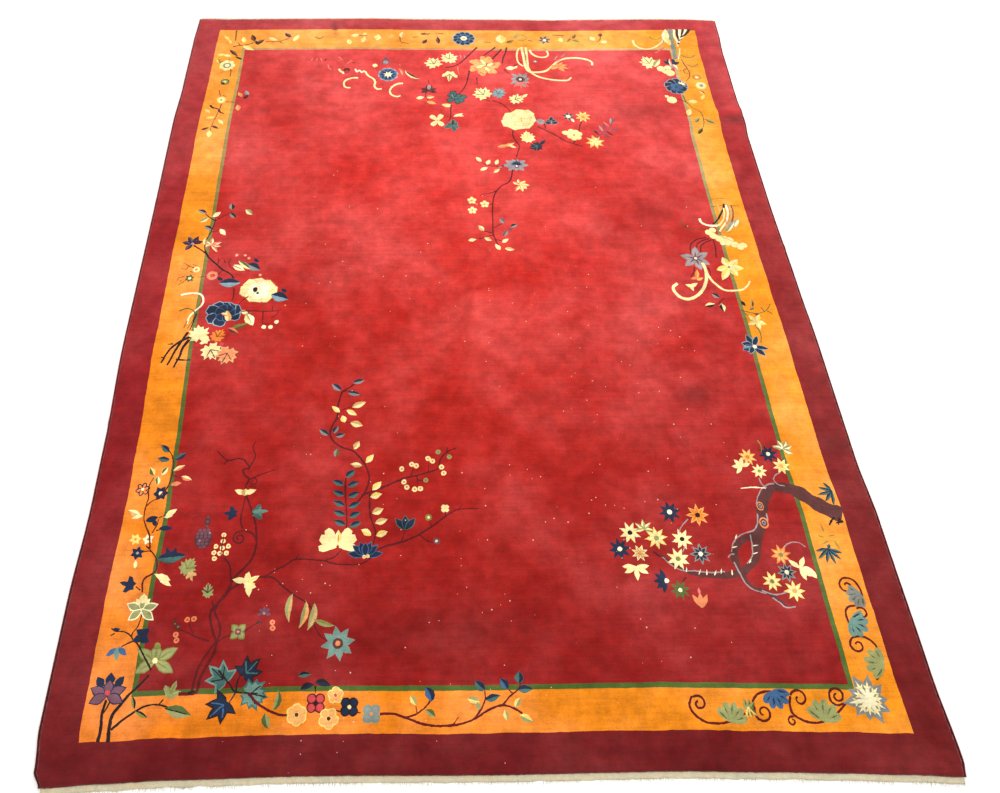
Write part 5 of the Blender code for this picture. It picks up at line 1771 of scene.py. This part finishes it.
# The last patch laid over a place is the yarn that shows there.
yarn_names = list(YARNS)
shown = np.full(len(faces), yarn_names.index("maroon_ground"))
order = np.argsort(centres[:, 0])
sorted_x = centres[order, 0]
for outline, yarn in patches:
    low, high = outline.min(axis=0), outline.max(axis=0)
    first, last = np.searchsorted(sorted_x, (low[0], high[0]))
    near = order[first:last]
    near = near[(centres[near, 1] >= low[1]) & (centres[near, 1] <= high[1])]
    hit = near[crossings(outline, centres[near, 0], centres[near, 1]) != 0]
    shown[hit] = yarn_names.index(yarn)

# Carving: a knot on the border between two yarns is clipped lower.
lowest = np.full(len(spots), len(yarn_names))
highest = np.zeros(len(spots), int)
for corner in range(3):
    np.minimum.at(lowest, faces[:, corner], shown)
    np.maximum.at(highest, faces[:, corner], shown)
height = pile_height(spots[:, 0], spots[:, 1]) - CARVING * (highest > lowest)

# The rolled edge: rings stepping out and down from the top, then in under the cloth.
verts = [np.column_stack([spots, height])]
ring_starts = []
total = len(spots)
for inset, drop in SHOULDER_RINGS[1:] + ((0.0004, PILE_TOP - PILE_FOOT),):
    ring = np.array(edge_ring(inset))
    wobble = 0.0 if drop > 0.01 else 1.0
    level = pile_height(ring[:, 0], ring[:, 1]) - drop + wobble * hand.normal(0.0, 0.0005, len(ring))
    level = level if wobble else np.full(len(ring), PILE_FOOT)
    ring_starts.append(total)
    verts.append(np.column_stack([ring + wobble * hand.normal(0.0, 0.0006, ring.shape), level]))
    total += len(ring)

# Input points keep their places at the head of the triangulation's list, so the top ring is 0, 1, 2 …
ring_size = len(top_ring)
quads = []
for upper, lower in zip([0] + ring_starts, ring_starts):
    for i in range(ring_size):
        j = (i + 1) % ring_size
        quads.append((upper + i, lower + i, lower + j, upper + j))

# The underside, knotted close to the floor.
foot_start = ring_starts[-1]
foot_ring = verts[-1][:, :2]
under_x, under_y = np.meshgrid(np.linspace(-1.30, 1.30, 14), np.linspace(-1.70, 1.70, 18))
under = np.column_stack([under_x.ravel(), under_y.ravel()])
under_spots, _, under_faces, *_ = delaunay_2d_cdt(
    [Vector(point) for point in np.concatenate([foot_ring, under])],
    [(i, (i + 1) % ring_size) for i in range(ring_size)], [], 0, 1e-5, False,
)
under_spots = np.array([tuple(spot) for spot in under_spots])
under_faces = np.array(under_faces)
middle = under_spots[under_faces].mean(axis=1)
under_faces = under_faces[crossings(foot_ring, middle[:, 0], middle[:, 1]) != 0]
assert len(under_spots) == ring_size + len(under)
verts.append(np.column_stack([under_spots[ring_size:], np.full(len(under), PILE_FOOT)]))
under_faces = np.where(under_faces < ring_size, under_faces + foot_start, under_faces - ring_size + total)
verts = np.concatenate(verts)
all_faces = [tuple(face) for face in faces.tolist()] + quads
all_faces += [tuple(face[::-1]) for face in under_faces.tolist()]

pile_mesh = bpy.data.meshes.new("knotted_pile")
pile_mesh.from_pydata(verts.tolist(), [], all_faces)
pile_mesh.update()
pile = bpy.data.objects.new("knotted_pile", pile_mesh)
bpy.context.scene.collection.objects.link(pile)

# Each face corner carries its yarn's colour; the grounds carry painted light and sheen that change with the
# place.
corner_vert = np.empty(len(pile_mesh.loops), int)
pile_mesh.loops.foreach_get("vertex_index", corner_vert)
corner_face = np.repeat(np.arange(len(all_faces)), [len(face) for face in all_faces])
corner_x, corner_y = verts[corner_vert, 0], verts[corner_vert, 1]
face_yarn = np.concatenate([shown, np.full(len(quads) + len(under_faces),
    yarn_names.index("maroon_ground"))])
corner_yarn = face_yarn[corner_face]
colours = np.ones((len(corner_vert), 4))
for index, name in enumerate(yarn_names):
    mine = corner_yarn == index
    if name in GROUND_PAINTED_LIGHT:
        colours[mine, :3] = with_painted_light(GROUND_PAINTED_LIGHT[name], corner_x[mine], corner_y[mine])
    else:
        colours[mine, :3] = linear(YARNS[name])
is_under = np.repeat(
    np.arange(len(all_faces)) >= len(faces) + len(quads), [len(face) for face in all_faces]
)
ground = np.isin(corner_yarn, [yarn_names.index(name) for name in GROUND_PAINTED_LIGHT])
# Painted shade and highlight of the fold and pile-lay patches, multiplied into the grounds.
tone = np.ones(len(corner_vert))
for x0, y0, half_x, half_y, turn, change in PAINTED_LIGHT_PATCHES:
    c, s = math.cos(math.radians(turn)), math.sin(math.radians(turn))
    u = ((corner_x - x0) * c + (corner_y - y0) * s) / half_x
    v = ((corner_y - y0) * c - (corner_x - x0) * s) / half_y
    tone *= 1.0 + change * np.exp(-(u * u + v * v))
colours[ground, :3] *= tone[ground, None]
colours[is_under, :3] = linear((176, 92, 74))
paint = pile_mesh.color_attributes.new("yarn", "FLOAT_COLOR", "CORNER")
paint.data.foreach_set("color", colours.ravel())

# One unwrapped map: the top lies flat with its edge folded out round it, the underside apart.
flat_map = np.column_stack([corner_x, corner_y])
drop = np.zeros(len(verts))
for (inset, down), start in zip(SHOULDER_RINGS[1:] + ((0.0, 0.013),), ring_starts):
    drop[start:start + ring_size] = down
out = drop[corner_vert]
flat_map[:, 0] += out * np.sign(corner_x) * np.clip((np.abs(corner_x) - 1.30) / 0.05, 0.0, 1.0)
flat_map[:, 1] += out * np.sign(corner_y) * np.clip((np.abs(corner_y) - 1.72) / 0.05, 0.0, 1.0)
unwrapped = np.column_stack([
    0.403 + flat_map[:, 0] * 0.2835, 0.5 + flat_map[:, 1] * 0.2700,
])
unwrapped[is_under] = np.column_stack([
    0.905 - corner_x[is_under] * 0.062, 0.15 + corner_y[is_under] * 0.072,
])
layer = pile_mesh.uv_layers.new(name="OFBake")
layer.data.foreach_set("uv", unwrapped.ravel())

for polygon in pile_mesh.polygons:
    polygon.use_smooth = True


# ---- The pile's finish: dyed wool, cut short, with its nap, cloudy dye lots and wear ----

class Finish:
    """A cloth finish built from noises in the cloth's own coordinates."""

    def __init__(self, name):
        self.material = bpy.data.materials.new(name)
        self.material.use_nodes = True
        self.tree = self.material.node_tree
        self.shader = self.tree.nodes["Principled BSDF"]
        self.place = self.tree.nodes.new("ShaderNodeTexCoord").outputs["Object"]

    def stretched(self, x, y, z=1.0):
        """The cloth's coordinates, scaled apart so that a pattern runs into streaks."""
        mapping = self.tree.nodes.new("ShaderNodeMapping")
        self.tree.links.new(self.place, mapping.inputs["Vector"])
        mapping.inputs["Scale"].default_value = (x, y, z)
        return mapping.outputs["Vector"]

    def noise(self, vector, scale, detail=2.0, roughness=0.5):
        node = self.tree.nodes.new("ShaderNodeTexNoise")
        self.tree.links.new(vector, node.inputs["Vector"])
        set_inputs(node, Scale=scale, Detail=detail, Roughness=roughness)
        return node.outputs["Fac"]

    def cells(self, vector, scale, output="Distance", randomness=1.0):
        node = self.tree.nodes.new("ShaderNodeTexVoronoi")
        self.tree.links.new(vector, node.inputs["Vector"])
        set_inputs(node, Scale=scale, Randomness=randomness)
        return node.outputs[output]

    def ramp(self, value, low, high, to_low, to_high):
        node = self.tree.nodes.new("ShaderNodeMapRange")
        self.tree.links.new(value, node.inputs["Value"])
        set_inputs(node, From_Min=low, From_Max=high, To_Min=to_low, To_Max=to_high)
        return node.outputs["Result"]

    def sums(self, operation, first, second):
        node = self.tree.nodes.new("ShaderNodeMath")
        node.operation = operation
        for socket, value in zip(node.inputs, (first, second)):
            if isinstance(value, (int, float)):
                socket.default_value = value
            else:
                self.tree.links.new(value, socket)
        return node.outputs["Value"]

    def blend(self, share, first, second, kind="MIX"):
        node = self.tree.nodes.new("ShaderNodeMix")
        node.data_type = "RGBA"
        node.blend_type = kind
        sockets = [node.inputs[0], node.inputs[6], node.inputs[7]]
        for socket, value in zip(sockets, (share, first, second)):
            if isinstance(value, (int, float, tuple)):
                socket.default_value = value
            else:
                self.tree.links.new(value, socket)
        return node.outputs[2]

    def brighten(self, colour, value, saturation=None):
        node = self.tree.nodes.new("ShaderNodeHueSaturation")
        self.tree.links.new(colour, node.inputs["Color"])
        self.tree.links.new(value, node.inputs["Value"])
        if saturation is not None:
            self.tree.links.new(saturation, node.inputs["Saturation"])
        return node.outputs["Color"]

    def attribute(self, name):
        node = self.tree.nodes.new("ShaderNodeAttribute")
        node.attribute_name = name
        return node.outputs["Color"]

    def split(self, colour):
        node = self.tree.nodes.new("ShaderNodeSeparateColor")
        self.tree.links.new(colour, node.inputs["Color"])
        return node.outputs

    def relief(self, height, distance, strength):
        node = self.tree.nodes.new("ShaderNodeBump")
        self.tree.links.new(height, node.inputs["Height"])
        set_inputs(node, Distance=distance, Strength=strength)
        self.tree.links.new(node.outputs["Normal"], self.shader.inputs["Normal"])

    def use(self, socket, value):
        self.tree.links.new(value, self.shader.inputs[socket])


wool = Finish("dyed_wool_pile")
clouds = wool.ramp(wool.noise(wool.place, 2.1, 5.0, 0.62), 0.32, 0.68, 0.80, 1.20)
naps = wool.ramp(wool.noise(wool.stretched(1.0, 1.35), 11.0, 4.0, 0.6), 0.34, 0.66, 0.82, 1.14)
brushed = wool.ramp(wool.noise(wool.stretched(1.3, 0.8), 34.0, 3.0, 0.6), 0.34, 0.66, 0.90, 1.09)
dye_lines = wool.ramp(wool.noise(wool.stretched(1.2, 46.0), 2.0, 3.0, 0.6), 0.34, 0.66, 0.92, 1.07)
rows = wool.ramp(wool.noise(wool.stretched(24.0, 210.0), 1.0, 2.0), 0.3, 0.7, 0.93, 1.06)
tufts = wool.ramp(wool.cells(wool.place, 300.0), 0.05, 0.75, 1.08, 0.84)
tone = clouds
for layer_of_tone in (naps, brushed, dye_lines, rows, tufts):
    tone = wool.sums("MULTIPLY", tone, layer_of_tone)
richness = wool.ramp(clouds, 0.8, 1.2, 1.05, 0.95)
dyed = wool.brighten(wool.attribute("yarn"), tone, richness)

# Worn specks where single knots have lost their wool and the pale foundation shows.
speck_cell = wool.tree.nodes.new("ShaderNodeTexVoronoi")
wool.tree.links.new(wool.place, speck_cell.inputs["Vector"])
set_inputs(speck_cell, Scale=64.0, Randomness=1.0)
where_worn = wool.noise(wool.stretched(1.4, 1.0), 2.6, 3.0, 0.6)
across = wool.tree.nodes.new("ShaderNodeSeparateXYZ")
wool.tree.links.new(wool.place, across.inputs["Vector"])
toward_near = wool.ramp(across.outputs["Y"], 0.9, -0.2, 0.0, 1.0)
toward_middle = wool.ramp(wool.sums("ABSOLUTE", across.outputs["X"], 0.0), 1.0, 0.55, 0.0, 1.0)
worn = wool.sums("MULTIPLY", toward_near, toward_middle)
worn = wool.sums("MULTIPLY", worn, wool.ramp(where_worn, 0.42, 0.66, 0.0, 0.20))
chance = wool.split(speck_cell.outputs["Color"])[0]
is_speck = wool.sums("LESS_THAN", chance, worn)
speck_size = wool.ramp(wool.split(speck_cell.outputs["Color"])[1], 0.0, 1.0, 0.06, 0.17)
in_speck = wool.sums("LESS_THAN", speck_cell.outputs["Distance"], speck_size)
speck = wool.sums("MULTIPLY", wool.sums("MULTIPLY", is_speck, in_speck), 0.72)
wool.use("Base Color", wool.blend(speck, dyed, (0.86, 0.52, 0.38, 1.0)))

depth = wool.sums("ADD", wool.sums("MULTIPLY", tufts, 0.6), wool.sums("MULTIPLY", brushed, 1.4))
depth = wool.sums("ADD", depth, wool.sums("MULTIPLY", rows, 0.8))
wool.relief(depth, 0.004, 0.55)
wool.use("Roughness", wool.ramp(naps, 0.82, 1.14, 0.92, 0.70))
set_inputs(
    wool.shader, Specular_IOR_Level=0.22, Sheen_Weight=0.30, Sheen_Roughness=0.42,
    Sheen_Tint=(1.0, 0.80, 0.74, 1.0),
)
pile_mesh.materials.append(wool.material)

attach(pile, "root")
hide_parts("pile_carpet")


# ---------------------------------------------------------------------------------------------
# The end bands: past the last row of knots the weaver wove a narrow band of undyed cotton,
# turned under and stitched; its outer edge has frayed into a ragged line of short warp ends.
# ---------------------------------------------------------------------------------------------

BAND_WIDTH = 0.018
BAND_TOP = 0.0033
GAP = 0.0003
BAND_STEP = 0.006
BAND_ROWS = (0.0, 0.12, 0.30, 0.48, 0.66, 0.84, 1.0)

cotton = Finish("flat_woven_cotton")
threads = cotton.sums("MULTIPLY", cotton.cells(cotton.stretched(1.0, 1.3), 420.0), 1.0)
ribs = cotton.tree.nodes.new("ShaderNodeTexWave")
ribs.bands_direction = "X"
cotton.tree.links.new(cotton.place, ribs.inputs["Vector"])
set_inputs(ribs, Scale=95.0, Distortion=2.2, Detail=2.0, Detail_Scale=2.0)
soil = cotton.noise(cotton.place, 9.0, 4.0, 0.65)
fine_soil = cotton.noise(cotton.place, 60.0, 3.0, 0.6)
cotton_tone = cotton.sums("MULTIPLY", cotton.ramp(soil, 0.3, 0.7, 0.80, 1.06),
                          cotton.ramp(fine_soil, 0.3, 0.7, 0.88, 1.06))
cotton_tone = cotton.sums("MULTIPLY", cotton_tone, cotton.ramp(threads, 0.0, 0.8, 1.04, 0.82))
stain = cotton.blend(cotton.ramp(soil, 0.46, 0.74, 0.0, 0.55), (0.80, 0.72, 0.50, 1.0),
                     (0.62, 0.45, 0.24, 1.0))
cotton.use("Base Color", cotton.brighten(stain, cotton_tone))
cotton.relief(cotton.sums("ADD", ribs.outputs["Fac"], threads), 0.0012, 0.7)
set_inputs(cotton.shader, Roughness=0.92, Specular_IOR_Level=0.15, Sheen_Weight=0.15,
           Sheen_Roughness=0.5)


def strip_solid(bm_verts, bm_faces, sections):
    """Joins closed sections of equal count into one solid with end caps."""
    start = len(bm_verts)
    size = len(sections[0])
    for section in sections:
        bm_verts.extend(section)
    for i in range(len(sections) - 1):
        for k in range(size):
            a = start + i * size + k
            b = start + i * size + (k + 1) % size
            bm_faces.append((a, b, b + size, a + size))
    bm_faces.append(tuple(start + k for k in reversed(range(size))))
    bm_faces.append(tuple(start + (len(sections) - 1) * size + k for k in range(size)))


def cloth_piece(name, verts, faces, finish):
    mesh = bpy.data.meshes.new(name)
    mesh.from_pydata([tuple(vert) for vert in verts], [], faces)
    mesh.update()
    piece = bpy.data.objects.new(name, mesh)
    bpy.context.scene.collection.objects.link(piece)
    mesh.materials.append(finish)
    bpy.ops.object.select_all(action="DESELECT")
    piece.select_set(True)
    bpy.context.view_layer.objects.active = piece
    bpy.ops.object.mode_set(mode="EDIT")
    bpy.ops.mesh.select_all(action="SELECT")
    bpy.ops.mesh.normals_make_consistent(inside=False)
    bpy.ops.object.mode_set(mode="OBJECT")
    for polygon in mesh.polygons:
        polygon.use_smooth = True
    return piece


# (name, node, side of the rug, how far the frayed edge strays).
BANDS = (("cotton_band_near", "end_band_near", -1.0, 0.0032),
    ("cotton_band_far", "end_band_far", 1.0, 0.0032))
for name, node, side, fray in BANDS:
    verts, faces = [], []
    sections = []
    total = int(2 * PILE_HALF_WIDTH / BAND_STEP)
    for i in range(total + 1):
        x, y = on_the_floor(-PILE_HALF_WIDTH + 2 * PILE_HALF_WIDTH * i / total, side * PILE_HALF_LENGTH)
        ragged = fray * (noise.noise((x * 21.0, side * 3.0, 0.0)) + 0.7 * noise.noise((x * 83.0, side * 5.0,
            1.0)))
        width = BAND_WIDTH + ragged
        puff = 0.0006 * noise.noise((x * 37.0, side * 9.0, 4.0))
        upper = []
        for share in BAND_ROWS:
            rise = BAND_TOP + puff + 0.0005 * noise.noise((x * 60.0, share * 3.0, side * 2.0))
            rise -= 0.0016 * max(0.0, share - 0.6) / 0.4
            upper.append((x, y + side * (GAP + width * share), rise))
        outer = (x, y + side * (GAP + width + 0.0003), 0.0012)
        sections.append(upper + [outer, (x, y + side * (GAP + width * 0.97), 0.0003),
                                 (x, y + side * GAP, 0.0003)])
    strip_solid(verts, faces, sections)
    # Short frayed warp ends lying on the floor beyond the band.
    for end in range(int(2 * PILE_HALF_WIDTH / 0.0065)):
        across = -PILE_HALF_WIDTH + 0.006 + end * 0.0065 + hand.uniform(-0.002, 0.002)
        across = min(max(across, -PILE_HALF_WIDTH + 0.004), PILE_HALF_WIDTH - 0.004)
        if noise.noise((across * 14.0, side * 7.0, 2.0)) < -0.12:
            continue
        x, y = on_the_floor(across, side * PILE_HALF_LENGTH)
        reach = hand.uniform(0.004, 0.011)
        lean = hand.uniform(-0.6, 0.6)
        thick = hand.uniform(0.0010, 0.0016)
        sections = []
        for share in (0.0, 0.5, 1.0):
            out = GAP + BAND_WIDTH * 0.86 + (0.0026 + reach) * share
            slide = lean * reach * share * share
            half = thick * (1.0 - 0.55 * share) / 2.0
            lift = 0.0022 * (1.0 - share) + 0.0012
            sections.append([
                (x + slide - half, y + side * out, lift - half * 0.8),
                (x + slide + half, y + side * out, lift - half * 0.8),
                (x + slide, y + side * out, lift + half),
            ])
        strip_solid(verts, faces, sections)
    band = cloth_piece(name, verts, faces, cotton.material)
    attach(band, "root")
    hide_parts(node)


# ---------------------------------------------------------------------------------------------
# The selvedges: the outermost warps down each side are bundled and overcast with dark red
# wool, turn beside turn, into a firm round edge.
# ---------------------------------------------------------------------------------------------

CORD_WIDTH = 0.008
CORD_HEIGHT = 0.009
WRAP_PITCH = 0.0052
RINGS_PER_WRAP = 3
CORD_SIDES = 10

overcast = Finish("overcast_wool")
wrap_soil = overcast.noise(overcast.place, 14.0, 4.0, 0.65)
wrap_fine = overcast.noise(overcast.stretched(1.0, 0.4), 190.0, 2.0)
wrap_tone = overcast.sums("MULTIPLY", overcast.ramp(wrap_soil, 0.3, 0.7, 0.72, 1.18),
                          overcast.ramp(wrap_fine, 0.3, 0.7, 0.80, 1.12))
overcast.use("Base Color", overcast.brighten(overcast.attribute("yarn"), wrap_tone))
overcast.relief(wrap_fine, 0.0010, 0.7)
set_inputs(overcast.shader, Roughness=0.86, Specular_IOR_Level=0.2, Sheen_Weight=0.25,
           Sheen_Roughness=0.45)

for name, node, side in (("overcast_left", "selvedge_left", -1.0),
    ("overcast_right", "selvedge_right", 1.0)):
    verts, faces, sections = [], [], []
    total = int(2 * PILE_HALF_LENGTH / WRAP_PITCH) * RINGS_PER_WRAP
    edge = np.array([
        on_the_floor(side * PILE_HALF_WIDTH, PILE_HALF_LENGTH * (2.0 * i / total - 1.0))
        for i in range(total + 1)
    ])
    lift = np.maximum(crease_rise(edge[:, 0], edge[:, 1]), 0.0)
    for i in range(total + 1):
        edge_x, y = edge[i]
        phase = 2.0 * math.pi * i / RINGS_PER_WRAP
        swell = 0.0004 * noise.noise((side, y * 23.0, 3.0))
        lifted = 0.9 * float(lift[i])
        section = []
        for k in range(CORD_SIDES):
            angle = 2.0 * math.pi * k / CORD_SIDES
            wrap = 0.00042 * math.cos(phase + 0.9 * math.sin(angle) * side)
            out = GAP + CORD_WIDTH / 2 + (CORD_WIDTH / 2 - 0.0005 + wrap + swell) * math.cos(angle)
            up = CORD_HEIGHT / 2 + (CORD_HEIGHT / 2 - 0.0005 + wrap + swell) * math.sin(angle)
            up = max(up, 0.0003)
            section.append((edge_x + side * out, y, up + lifted))
        sections.append(section)
    strip_solid(verts, faces, sections)
    cord = cloth_piece(name, verts, faces, overcast.material)
    corner = np.empty(len(cord.data.loops), int)
    cord.data.loops.foreach_get("vertex_index", corner)
    places = np.array(verts)[corner]
    shade = np.ones((len(corner), 4))
    # The cord is darker wool than the border, and carries the border's painted light and sheen, paler
    # towards the far end.
    shade[:, :3] = with_painted_light(BORDER_PAINTED_LIGHT, places[:, 0], places[:, 1]) * 0.62
    cord.data.color_attributes.new("yarn", "FLOAT_COLOR", "CORNER").data.foreach_set("color", shade.ravel())
    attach(cord, "root")
    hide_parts(node)
